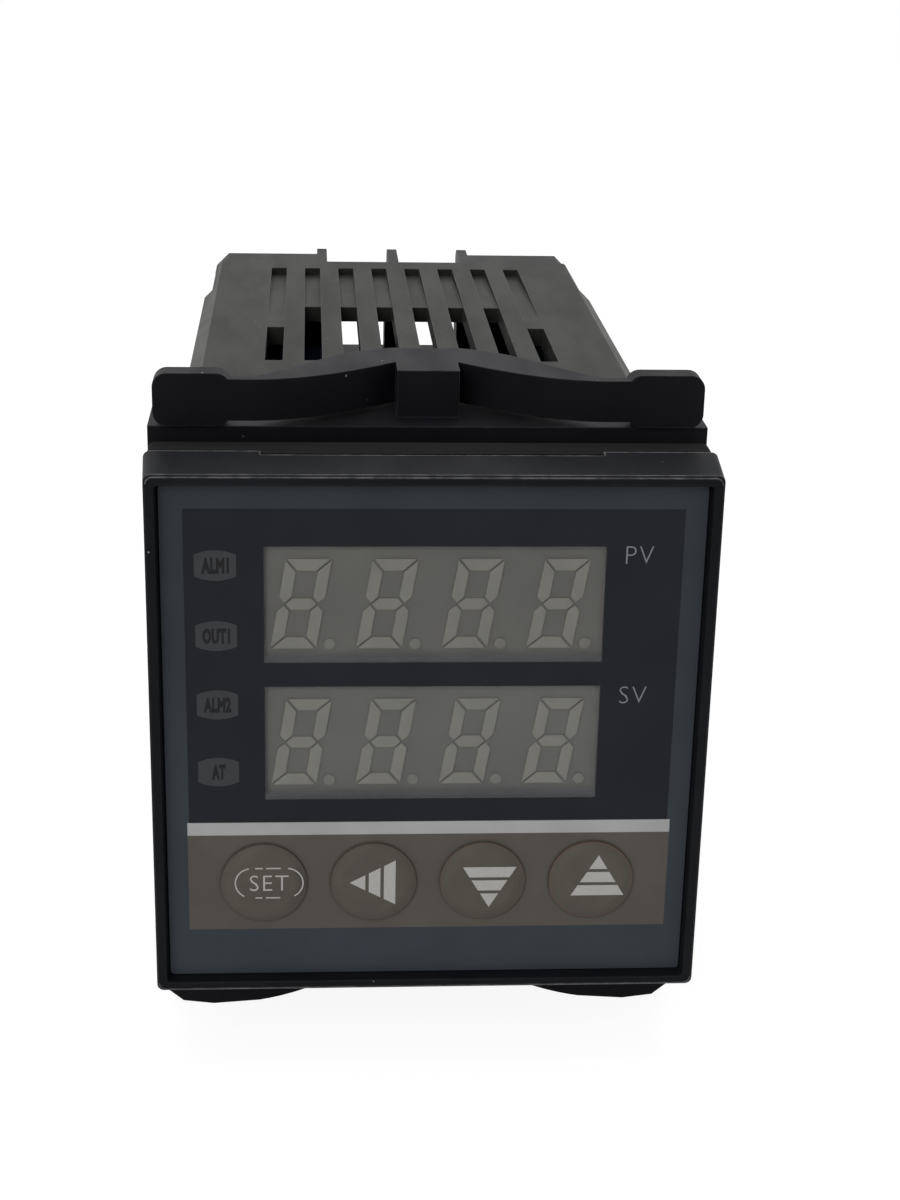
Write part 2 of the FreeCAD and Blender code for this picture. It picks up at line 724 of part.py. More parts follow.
def display_segments(centre_z):
    """Return the light guides of one display: seven segments and a round point for each digit."""
    lean = math.tan(DIGIT_SLANT)
    middle = (DIGITS - 1) / 2
    rear = display_front + SEGMENT_DEPTH
    guides = []
    for digit in range(DIGITS):
        x = (digit - middle) * DIGIT_PITCH + DIGIT_OFFSET
        for outline in segment_outlines():
            corners = [Vector(x + u + v * lean, display_front, centre_z + v) for u, v in outline]
            guides.append(prism(corners, Vector(0, SEGMENT_DEPTH, 0)))
        low = POINT_LIFT - DIGIT_HEIGHT / 2
        point_x = x + POINT_OFFSET + low * lean
        guides.append(small_round(point_x, centre_z + low, POINT_RADIUS, display_front, rear))
    return Part.makeCompound(guides)


def display_body(centre_z):
    """Return one display's moulded body, with its corners along the depth chamfered."""
    y = (display_front + SEGMENT_DEPTH, display_board_front)
    return chamfered_block(span(0, display_width), y, span(centre_z, display_height), BODY_CHAMFER)


def indicator_lamps():
    """Return the four rectangular lamps."""
    y = (display_front, display_board_front)
    lamps = [block(span(LAMP_X, LAMP_WIDTH), y, span(height, LAMP_HEIGHT)) for height in lamp_heights()]
    return Part.makeCompound(lamps)


def key(x):
    """Return one key: a domed round cap on a retaining flange."""
    crown = film_front - KEY_PROUD
    profile = [
        (0, crown - KEY_DOME),
        (KEY_DOME_RADIUS, crown - KEY_DOME),
        (KEY_RADIUS, crown),
        (KEY_RADIUS, key_flange_front),
        (KEY_RADIUS + KEY_FLANGE, key_flange_front),
        (KEY_RADIUS + KEY_FLANGE, key_rear),
        (0, key_rear),
    ]
    return turned(profile, x, KEY_Z)


def key_plunger(x):
    """Return the plunger that a key bears on."""
    return small_round(x, KEY_Z, PLUNGER_RADIUS, key_rear, switch_front + PLUNGER_ENGAGEMENT)


def switch_bodies():
    """Return the four switch bodies, each with a well for its plunger."""
    bodies = []
    for name, x in key_places():
        y = (switch_front, display_board_front)
        body = block(span(x, SWITCH_SIDE), y, span(KEY_Z, SWITCH_SIDE))
        floor = switch_front + PLUNGER_ENGAGEMENT + KEY_TRAVEL + SWITCH_GAP
        well = small_round(x, KEY_Z, PLUNGER_RADIUS + PLUNGER_CLEARANCE, switch_front - BEYOND, floor)
        bodies.append(body.cut(well))
    return Part.makeCompound(bodies)


def tab_heights():
    """Return the height of each tab that joins a side board to the display board."""
    return [-BOARD_TAB_SPACING / 2, BOARD_TAB_SPACING / 2]


def display_board():
    """Return the board behind the front panel, slotted for the side boards' tabs."""
    half = tongue_inner - DISPLAY_BOARD_MARGIN
    y = (display_board_front, display_board_rear)
    board = block((-half, half), y, span(0, DISPLAY_BOARD_HEIGHT))
    slots = []
    for side in SIDES:
        inner = side * (board_inner - BOARD_SLOT_CLEARANCE)
        outer = side * (board_outer + BOARD_SLOT_CLEARANCE)
        for height in tab_heights():
            tall = BOARD_TAB_HEIGHT + 2 * BOARD_SLOT_CLEARANCE
            through = (y[0] - BEYOND, y[1] + BEYOND)
            slots.append(block(ordered(inner, outer), through, span(height, tall)))
    return without(board, slots)


def side_board(side):
    """Return one side board with the tabs that plug into the display board."""
    x = ordered(side * board_inner, side * board_outer)
    tall = bore_half - SIDE_BOARD_CLEARANCE
    pieces = [block(x, (display_board_rear, board_rear), (-tall, tall))]
    for height in tab_heights():
        y = (display_board_front, display_board_rear + BEYOND)
        pieces.append(block(x, y, span(height, BOARD_TAB_HEIGHT)))
    return joined(pieces)


def board_headers():
    """Return the header strips in the corners between the boards."""
    strips = []
    for side in SIDES:
        x = ordered(side * (board_inner - HEADER_SIZE), side * board_inner)
        y = (display_board_rear, display_board_rear + HEADER_SIZE)
        strips.append(block(x, y, span(0, HEADER_HEIGHT)))
    return Part.makeCompound(strips)


def segment_drivers():
    """Return the two driver chips on the back of the display board."""
    chips = []
    for x in DRIVER_X:
        y = (display_board_rear, display_board_rear + DRIVER_SIZE[2])
        chips.append(chamfered_block(span(x, DRIVER_SIZE[0]), y, span(0, DRIVER_SIZE[1]), BODY_CHAMFER))
    return Part.makeCompound(chips)


def transformer_middle():
    """Return the sideways place of the transformer's core."""
    half = CORE_THICKNESS / 2 + BOBBIN_WALL + BOBBIN_FLANGE_MARGIN + BOBBIN_FOOT
    return -(board_inner - half - CORE_LIMB / 2)


def transformer_core():
    """Return the three-limbed core with its two windows."""
    x = span(transformer_middle(), CORE_THICKNESS)
    y = span(transformer_y, CORE_LENGTH)
    core = block(x, y, span(TRANSFORMER_Z, CORE_HEIGHT))
    windows = []
    for side in SIDES:
        near = TRANSFORMER_Z + side * CORE_CENTRE_LIMB / 2
        far = TRANSFORMER_Z + side * (CORE_HEIGHT / 2 - CORE_LIMB)
        window_x = (x[0] - BEYOND, x[1] + BEYOND)
        windows.append(block(window_x, span(transformer_y, CORE_LENGTH - 2 * CORE_LIMB), ordered(near, far)))
    return without(core, windows)


def coil_sleeve(inner, outer, length):
    """Return a square tube round the core's centre limb; inner and outer are wall offsets."""
    x = transformer_middle()
    through = span(transformer_y, length + 2 * BEYOND)
    sizes = []
    for offset in [inner, outer]:
        wide = CORE_THICKNESS + 2 * offset
        tall = CORE_CENTRE_LIMB + 2 * offset
        sizes.append((span(x, wide), span(TRANSFORMER_Z, tall)))
    solid = block(sizes[1][0], span(transformer_y, length), sizes[1][1])
    return solid.cut(block(sizes[0][0], through, sizes[0][1]))


def transformer_bobbin():
    """Return the bobbin: a tube round the centre limb with a flange at each end and a foot."""
    length = CORE_LENGTH - 2 * CORE_LIMB - 2 * BOBBIN_CLEARANCE
    tube_wall = BOBBIN_CLEARANCE + BOBBIN_WALL
    flange_wall = (CORE_HEIGHT / 2 - CORE_LIMB) - CORE_CENTRE_LIMB / 2 - BOBBIN_CLEARANCE
    pieces = [coil_sleeve(BOBBIN_CLEARANCE, tube_wall, length)]
    for side in SIDES:
        flange = coil_sleeve(BOBBIN_CLEARANCE, flange_wall, BOBBIN_WALL)
        flange.translate(Vector(0, side * (length - BOBBIN_WALL) / 2, 0))
        pieces.append(flange)
        flange_face = transformer_middle() - CORE_THICKNESS / 2 - flange_wall
        y = span(transformer_y + side * (length - BOBBIN_WALL) / 2, BOBBIN_WALL)
        tall = span(TRANSFORMER_Z, CORE_CENTRE_LIMB)
        pieces.append(block((-board_inner, flange_face + BOBBIN_WALL), y, tall))
    return joined(pieces)


def transformer_winding():
    """Return the winding between the bobbin's flanges."""
    length = CORE_LENGTH - 2 * CORE_LIMB - 2 * BOBBIN_CLEARANCE - 2 * BOBBIN_WALL
    inner = BOBBIN_CLEARANCE + BOBBIN_WALL
    outer = (CORE_HEIGHT / 2 - CORE_LIMB) - CORE_CENTRE_LIMB / 2 - BOBBIN_CLEARANCE - WINDING_MARGIN
    return coil_sleeve(inner, outer, length)


def supply_capacitors():
    """Return the upright capacitors on the power board, each with a bevelled end."""
    top = CAPACITOR_HEIGHT - board_inner
    rings = [
        (CAPACITOR_RADIUS, -board_inner),
        (CAPACITOR_RADIUS, top - CAPACITOR_BEVEL),
        (CAPACITOR_RADIUS - CAPACITOR_BEVEL, top),
    ]
    cans = []
    for height in CAPACITOR_Z:
        can = small_stack(0, 0, rings)
        can.rotate(Vector(0, 0, 0), Vector(0, 0, 1), -90)
        can.translate(Vector(0, capacitor_y, height))
        cans.append(can)
    return Part.makeCompound(cans)


def output_relay():
    """Return the output relay at the rear of the power board."""
    return seated_block(LEFT, rear_place(OUTPUT_RELAY_SIZE[0], OUTPUT_RELAY_Z), OUTPUT_RELAY_SIZE)


def voltage_regulator():
    """Return the regulator: a moulded body on a drilled metal tab that lies on the board."""
    body = seated_block(LEFT, REGULATOR_PLACE, REGULATOR_SIZE)
    tab_y = REGULATOR_PLACE[0] - REGULATOR_SIZE[0] / 2 - REGULATOR_TAB[0] / 2
    low = -board_inner
    tall = span(REGULATOR_PLACE[1], REGULATOR_SIZE[1])
    tab = block((low, low + REGULATOR_TAB[1]), span(tab_y, REGULATOR_TAB[0] + BEYOND), tall)
    start = Vector(low - BEYOND, tab_y, REGULATOR_PLACE[1])
    hole = Part.makeCylinder(REGULATOR_HOLE_RADIUS, REGULATOR_TAB[1] + 2 * BEYOND, start, Vector(1, 0, 0))
    return joined([body, tab]).cut(hole)


def chip(place, size, leads, pitch):
    """Return a chip on the control board with a row of leads on two sides."""
    pieces = [seated_block(RIGHT, place, size)]
    middle = (leads - 1) / 2
    for side in SIDES:
        edge = place[1] + side * size[1] / 2
        z = ordered(edge - side * ROOT_OVERLAP, edge + side * LEAD_REACH)
        for lead in range(leads):
            y = span(place[0] + (lead - middle) * pitch, LEAD_WIDTH)
            pieces.append(block((board_inner - LEAD_THICKNESS, board_inner), y, z))
    return joined(pieces)


def microcontroller():
    """Return the square controller chip with leads on all four sides."""
    size = [CONTROLLER_SIDE, CONTROLLER_SIDE, CONTROLLER_HEIGHT]
    pieces = [chip(CONTROLLER_PLACE, size, CONTROLLER_LEAD_COUNT, CONTROLLER_LEAD_PITCH)]
    middle = (CONTROLLER_LEAD_COUNT - 1) / 2
    for side in SIDES:
        edge = CONTROLLER_PLACE[0] + side * CONTROLLER_SIDE / 2
        y = ordered(edge - side * ROOT_OVERLAP, edge + side * LEAD_REACH)
        for lead in range(CONTROLLER_LEAD_COUNT):
            z = span(CONTROLLER_PLACE[1] + (lead - middle) * CONTROLLER_LEAD_PITCH, LEAD_WIDTH)
            pieces.append(block((board_inner - LEAD_THICKNESS, board_inner), y, z))
    return joined(pieces)


def crystal():
    """Return the oval crystal can that lies on the control board."""
    x = (board_inner - CRYSTAL_HEIGHT, board_inner)
    y = span(CRYSTAL_PLACE[0], CRYSTAL_LENGTH)
    z = span(CRYSTAL_PLACE[1], CRYSTAL_WIDTH)
    return rounded_block(x, y, z, CRYSTAL_WIDTH * 0.49, Vector(1, 0, 0))


def alarm_relays():
    """Return the two alarm relays on the control board."""
    relays = []
    for height in ALARM_RELAY_Z:
        place = rear_place(ALARM_RELAY_SIZE[0], height)
        relays.append(seated_block(RIGHT, place, ALARM_RELAY_SIZE))
    return Part.makeCompound(relays)


def curve(points):
    """Return a smooth edge through the points."""
    spline = Part.BSplineCurve()
    spline.interpolate(points)
    return spline.toShape()


def bow_arm(stretch):
    """Return the right-hand arm of a bow, from the boss to its paddle, taller by a stretch."""
    front = [
        Vector(BOSS_HALF_WIDTH - ROOT_OVERLAP, BOW_ROOT_FRONT, bow_bottom),
        Vector(BOW_KNEE_X, BOW_KNEE_FRONT, bow_bottom),
        Vector(BOW_SHOULDER_X, BOW_SHOULDER_FRONT, bow_bottom),
        Vector(BOW_NECK_X, BOW_FRONT, bow_bottom),
    ]
    rear = [
        Vector(BOW_NECK_X, BOW_FRONT + BOW_NECK_THICKNESS, bow_bottom),
        Vector(BOW_SHOULDER_X, BOW_SHOULDER_REAR, bow_bottom),
        Vector(BOW_KNEE_X, BOW_KNEE_REAR, bow_bottom),
        Vector(BOSS_HALF_WIDTH - ROOT_OVERLAP, BOW_ROOT_REAR, bow_bottom),
    ]
    tip_front = Vector(PADDLE_INNER_X + ROOT_OVERLAP, BOW_FRONT, bow_bottom)
    tip_rear = Vector(PADDLE_INNER_X + ROOT_OVERLAP, BOW_FRONT + BOW_NECK_THICKNESS, bow_bottom)
    edges = [
        curve(front),
        Part.makeLine(front[-1], tip_front),
        Part.makeLine(tip_front, tip_rear),
        Part.makeLine(tip_rear, rear[0]),
        curve(rear),
        Part.makeLine(rear[-1], front[0]),
    ]
    arm = Part.Face(Part.Wire(edges)).extrude(Vector(0, 0, BOW_HEIGHT + stretch))
    x = (PADDLE_INNER_X, PADDLE_OUTER_X)
    y = (BOW_FRONT, BOW_FRONT + PADDLE_THICKNESS)
    z = (bow_bottom - PADDLE_DROP, bow_top + PADDLE_RISE + stretch)
    paddle = rounded_block(x, y, z, PADDLE_RADIUS, Vector(0, 1, 0))
    return joined([arm, paddle])


def lower_arm():
    """Return the right-hand arm of the lower bow, as if above, with its longer free edge rounded."""
    stretch = max(rise for share, rise in LOWER_BOW_EDGE)
    inner = BOSS_HALF_WIDTH - ROOT_OVERLAP
    front = BOW_FRONT - BEYOND
    low = bow_bottom - PADDLE_DROP
    outline = [Vector(inner, front, bow_top), Vector(inner, front, low), Vector(PADDLE_OUTER_X, front, low)]
    for share, rise in reversed(LOWER_BOW_EDGE):
        outline.append(Vector(share * PADDLE_OUTER_X, front, bow_top + rise))
    return bow_arm(stretch).common(prism(outline, Vector(0, BOSS_REAR + ROOT_OVERLAP - front, 0)))


def bow(right_arm):
    """Return a whole bow above the case: its boss and both arms."""
    left_arm = right_arm.mirror(Vector(0, 0, 0), Vector(1, 0, 0))
    boss_z = (bracket_top - BRACKET_TOP_WALL / 2, bow_top)
    boss = block(span(0, 2 * BOSS_HALF_WIDTH), (BOSS_FRONT, BOSS_REAR), boss_z)
    return joined([boss, right_arm, left_arm])


def mounting_bracket():
    """Return the bracket: a sleeve on the case, with a sprung bow above and below."""
    outer_x = bracket_bore + BRACKET_SIDE_WALL
    rear = BRACKET_FRONT + BRACKET_LENGTH
    sleeve = block((-outer_x, outer_x), (BRACKET_FRONT, rear), (-bracket_top, bracket_top))
    bore_span = (-bracket_bore, bracket_bore)
    bore_y = (BRACKET_FRONT - BEYOND, rear + BEYOND)
    sleeve = sleeve.cut(chamfered_block(bore_span, bore_y, bore_span, CASE_CHAMFER))
    lower_bow = bow(lower_arm()).mirror(Vector(0, 0, 0), Vector(0, 0, 1))
    return joined([sleeve, bow(bow_arm(0)), lower_bow])


def all_parts():
    """Return every piece by name."""
    parts = {
        "case": case(),
        "terminal_base": terminal_base(),
        "terminal_contacts": terminal_contacts(),
        "terminal_washers": terminal_washers(),
        "terminal_screws": terminal_screws(),
        "mounting_bracket": mounting_bracket(),
        "bezel": bezel(),
        "front_film": front_film(),
        "upper_display": display_body(UPPER_DISPLAY_Z),
        "upper_segments": display_segments(UPPER_DISPLAY_Z),
        "lower_display": display_body(LOWER_DISPLAY_Z),
        "lower_segments": display_segments(LOWER_DISPLAY_Z),
        "indicator_lamps": indicator_lamps(),
        "switch_bodies": switch_bodies(),
        "display_board": display_board(),
        "segment_drivers": segment_drivers(),
        "board_headers": board_headers(),
        "power_board": side_board(LEFT),
        "transformer_core": transformer_core(),
        "transformer_bobbin": transformer_bobbin(),
        "transformer_winding": transformer_winding(),
        "supply_capacitors": supply_capacitors(),
        "bridge_rectifier": seated_block(LEFT, rear_place(RECTIFIER_SIZE[0], RECTIFIER_Z), RECTIFIER_SIZE),
        "voltage_regulator": voltage_regulator(),
        "film_capacitor": seated_block(LEFT, [film_capacitor_y, FILM_CAPACITOR_Z], FILM_CAPACITOR_SIZE),
        "output_relay": output_relay(),
        "control_board": side_board(RIGHT),
        "microcontroller": microcontroller(),
        "input_converter": chip([converter_y, CONVERTER_Z], CONVERTER_SIZE, CONVERTER_LEAD_COUNT, LEAD_PITCH),
        "memory_chip": chip(MEMORY_PLACE, MEMORY_SIZE, MEMORY_LEAD_COUNT, MEMORY_LEAD_PITCH),
        "crystal": crystal(),
        "alarm_relays": alarm_relays(),
    }
    for name, x in key_places():
        parts[name + "_key"] = key(x)
        parts[name + "_plunger"] = key_plunger(x)
    return parts


for part_name, part_shape in all_parts().items():
    part_shape.exportStep("parts/" + part_name + ".step")
    print(part_name, part_shape.isValid(), len(part_shape.Solids), round(part_shape.Volume, 2))
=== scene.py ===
"""Looks of the panel temperature controller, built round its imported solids.

Lengths are in metres in the part's own frame: X to the right, Y to the back and
Z up, with the origin in the middle of the panel seat. Sizes that a maker would
read off a drawing are written in millimetres and multiplied by MM.
"""

from __future__ import annotations

import logging
import math
from collections.abc import Callable, Iterator
from contextlib import contextmanager
from dataclasses import dataclass
from enum import Enum
from functools import cached_property

import bmesh
import bpy
from mathutils import Matrix, Vector

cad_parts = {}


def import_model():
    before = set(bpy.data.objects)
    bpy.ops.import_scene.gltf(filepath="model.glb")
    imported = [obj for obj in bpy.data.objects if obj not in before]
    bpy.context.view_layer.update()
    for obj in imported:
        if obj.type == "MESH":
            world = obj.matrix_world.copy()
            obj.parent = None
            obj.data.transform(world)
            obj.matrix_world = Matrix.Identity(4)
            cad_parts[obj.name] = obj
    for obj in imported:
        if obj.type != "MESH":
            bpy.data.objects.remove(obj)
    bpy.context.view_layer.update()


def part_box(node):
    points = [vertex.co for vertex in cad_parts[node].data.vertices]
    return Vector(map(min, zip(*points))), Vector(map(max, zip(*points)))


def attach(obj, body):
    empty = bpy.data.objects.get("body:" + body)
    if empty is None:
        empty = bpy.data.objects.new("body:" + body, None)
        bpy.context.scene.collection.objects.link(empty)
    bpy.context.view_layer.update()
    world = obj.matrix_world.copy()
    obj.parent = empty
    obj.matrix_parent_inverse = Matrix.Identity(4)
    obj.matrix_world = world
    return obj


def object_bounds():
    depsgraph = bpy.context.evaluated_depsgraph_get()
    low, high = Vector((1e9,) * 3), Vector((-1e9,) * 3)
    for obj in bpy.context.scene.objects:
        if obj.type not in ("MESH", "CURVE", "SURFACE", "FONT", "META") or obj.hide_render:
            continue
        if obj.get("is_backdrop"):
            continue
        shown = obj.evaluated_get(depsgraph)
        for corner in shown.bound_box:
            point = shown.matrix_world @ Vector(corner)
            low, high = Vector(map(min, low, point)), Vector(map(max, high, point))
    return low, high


LOG = logging.getLogger("controller")
MM = 0.001

Colour = tuple[float, float, float]
Material = bpy.types.Material
Piece = bpy.types.Object
Socket = bpy.types.NodeSocket
Number = float | Socket

# The mix node keeps its colours behind its inputs for numbers and vectors.
MIX_COLOURS = slice(6, 8)
MIX_RESULT = 2
# The part of a noise's range in which a drifting value goes from low to high.
DRIFT_SPAN = (0.3, 0.7)
# The same for ink or wear that covers most of what lies under it.
COVER_SPAN = (0.35, 0.65)
# How well a rounded normal matches the true one, on a sharp edge and away from it.
EDGE_MATCH = (0.9, 0.997)
# How many rays look for an edge, to soften it and to find its wear and painted highlight.
SOFT_RAYS = 4
WEAR_AND_HIGHLIGHT_RAYS = 6
# How far round its level of noise the edge of a clear patch spreads.
PATCH_EDGE = 0.01
# How the printed film and the keys under it shine.
FILM_ROUGHNESS = (0.36, 0.48)
FILM_GLOSS = 0.08
FILM_WAVE = 1.5 * MM
FILM_TOOTH = 0.18 * MM


def shade(red: int, green: int, blue: int) -> Colour:
    """Turns a colour as a screen shows it into the linear one that shaders take.

    Args:
        red: Red from 0 to 255.
        green: Green from 0 to 255.
        blue: Blue from 0 to 255.

    Returns:
        The same colour in linear light, from 0 to 1.
    """

    def linear(value: int) -> float:
        """One channel in linear light."""
        part = value / 255
        return part / 12.92 if part <= 0.04045 else ((part + 0.055) / 1.055) ** 2.4

    return linear(red), linear(green), linear(blue)


# ---- Node trees ----


class NodeBench:
    """The node tree of a material or a world, with short ways to add and join its nodes."""

    def __init__(self, name: str, is_world: bool = False) -> None:
        """Starts an empty tree.

        Args:
            name: The material's or world's name.
            is_world: Whether the tree belongs to a world.
        """
        self.owner = (bpy.data.worlds if is_world else bpy.data.materials).new(name)
        self.owner.use_nodes = True
        self.tree = self.owner.node_tree
        self.tree.nodes.clear()
        self.output = self.add("OutputWorld" if is_world else "OutputMaterial")

    @cached_property
    def place(self) -> Socket:
        """The shaded point in the part's own frame."""
        return self.add("TexCoord").outputs["Object"]

    def feed(self, target: Socket, value: Number | Colour) -> None:
        """Joins a socket to another one, or sets it to a plain value.

        Args:
            target: The input socket.
            value: A number, a colour or an output socket.
        """
        if isinstance(value, Socket):
            self.tree.links.new(value, target)
        elif isinstance(value, tuple) and target.type == "RGBA":
            target.default_value = (*value, 1.0)
        else:
            target.default_value = value

    def add(self, kind: str, *values: Number | Colour, **named: Number | Colour | str) -> bpy.types.Node:
        """Adds a node with its settings and inputs.

        Args:
            kind: Its type, without the word ShaderNode.
            *values: Its first inputs, in order.
            **named: Settings in small letters, then inputs in capitals, with spaces as underscores.

        Returns:
            The node.
        """
        node = self.tree.nodes.new(f"ShaderNode{kind}")
        for name, value in named.items():
            if name.islower():
                setattr(node, name, value)
            else:
                self.feed(node.inputs[name.replace("_", " ")], value)
        for socket, value in zip(node.inputs, values):
            self.feed(socket, value)
        return node

    def calc(self, operation: str, first: Number, second: Number = 0.0) -> Socket:
        """The result of one of the Math node's operations on two values."""
        return self.add("Math", first, second, operation=operation).outputs[0]

    def product(self, first: Number, *others: Number) -> Socket:
        """Multiplies values together.

        Args:
            first: The first value.
            *others: The values that it is multiplied by.

        Returns:
            The product.
        """
        for other in others:
            first = self.calc("MULTIPLY", first, other)
        return first

    def distance(self, side: Socket, rise: Socket) -> Socket:
        """How far a point lies from where two coordinates are 0."""
        squares = self.calc("ADD", self.product(side, side), self.product(rise, rise))
        return self.calc("SQRT", squares)

    def step(self, value: Number, start: float, end: float, low: float = 0.0, high: float = 1.0) -> Socket:
        """A value that eases from low to high as another goes from start to end."""
        node = self.add("MapRange", value, start, end, low, high, interpolation_type="SMOOTHSTEP")
        return node.outputs["Result"]

    def within(self, value: Number, limit: float, soft: float) -> Socket:
        """1 where a value is at most the limit, and 0 where it is above it by more than soft."""
        return self.step(value, limit, limit + soft, 1.0, 0.0)

    def noise(self, size: float, detail: float = 2.0, stretch: Colour = (1.0, 1.0, 1.0)) -> Socket:
        """Soft random mottling.

        Args:
            size: The width of one blotch, in metres.
            detail: How many finer layers lie on it.
            stretch: How the pattern is squeezed along each axis.

        Returns:
            A value from 0 to 1.
        """
        mapping = self.add("Mapping", Vector=self.place, Scale=stretch)
        place = mapping.outputs["Vector"]
        return self.add("TexNoise", Vector=place, Scale=1 / size, Detail=detail).outputs["Fac"]

    def drift(self, size: float, detail: float, low: float = 0.0, high: float = 1.0) -> Socket:
        """A value that drifts between two levels, in soft patches of about the given size."""
        return self.step(self.noise(size, detail), *DRIFT_SPAN, low, high)

    def patches(self, size: float, detail: float, bare: float) -> Socket:
        """1 on scattered patches with clear edges, where the noise is above a bare level, or else 0."""
        return self.step(self.noise(size, detail), bare - PATCH_EDGE, bare + PATCH_EDGE)

    def cells(self, size: float) -> Socket:
        """The distance to the nearest of many scattered points, in cells of the given size."""
        return self.add("TexVoronoi", Vector=self.place, Scale=1 / size).outputs["Distance"]

    def blend(self, share: Number, first: Number | Colour, second: Number | Colour) -> Socket:
        """Mixes two colours.

        Args:
            share: How much of the second colour shows.
            first: The colour at 0.
            second: The colour at 1.

        Returns:
            The mixed colour.
        """
        node = self.add("Mix", share, data_type="RGBA")
        for socket, colour in zip(node.inputs[MIX_COLOURS], (first, second)):
            self.feed(socket, colour)
        return node.outputs[MIX_RESULT]

    def axes(self) -> tuple[Socket, Socket, Socket]:
        """The three coordinates of the shaded point, in metres."""
        return tuple(self.add("SeparateXYZ", self.place).outputs)

    def rounded(self, radius: float, samples: int) -> Socket:
        """The surface normal, as if the edges had a radius in metres, found with so many rays."""
        return self.add("Bevel", samples=samples, Radius=radius).outputs["Normal"]

    def relief(self, height: Number, depth: float, edge: float = 0.0) -> Socket:
        """Fine surface relief, with edges that look slightly rounded.

        Args:
            height: The relief, from 0 to 1.
            depth: What a height of 1 stands for, in metres.
            edge: The radius to which sharp edges are softened, in metres.

        Returns:
            The surface normal.
        """
        bump = self.add("Bump", Strength=1.0, Distance=depth, Height=height)
        if edge > 0:
            self.feed(bump.inputs["Normal"], self.rounded(edge, SOFT_RAYS))
        return bump.outputs["Normal"]

    def sharpness(self, radius: float) -> Socket:
        """Finds sharp edges, where a rounded normal leaves the true one.

        Args:
            radius: How far from an edge the search goes, in metres.

        Returns:
            1 on an edge and 0 away from it.
        """
        truth = self.add("NewGeometry").outputs["Normal"]
        match = self.add("VectorMath", self.rounded(radius, WEAR_AND_HIGHLIGHT_RAYS), truth, operation="DOT_PRODUCT")
        return self.step(match.outputs["Value"], *EDGE_MATCH, 1.0, 0.0)

    def seen(self) -> Socket:
        """Finds the rays that reach the camera straight, off gloss or through glass.

        Returns:
            1 for such a ray and 0 for any other.
        """
        path = self.add("LightPath").outputs
        turned = self.calc("MAXIMUM", path["Is Glossy Ray"], path["Is Transmission Ray"])
        return self.calc("MAXIMUM", path["Is Camera Ray"], turned)

    def close(self, shader: bpy.types.Node) -> Material | bpy.types.World:
        """Joins the last shader to the output and hands over what the tree belongs to."""
        self.feed(self.output.inputs["Surface"], shader.outputs[0])
        return self.owner

    def surface(self, **sockets: Number | Colour) -> Material:
        """Closes the tree with the main shader, whose sockets are named with underscores for spaces."""
        return self.close(self.add("BsdfPrincipled", **sockets))


# ---- Finishes ----


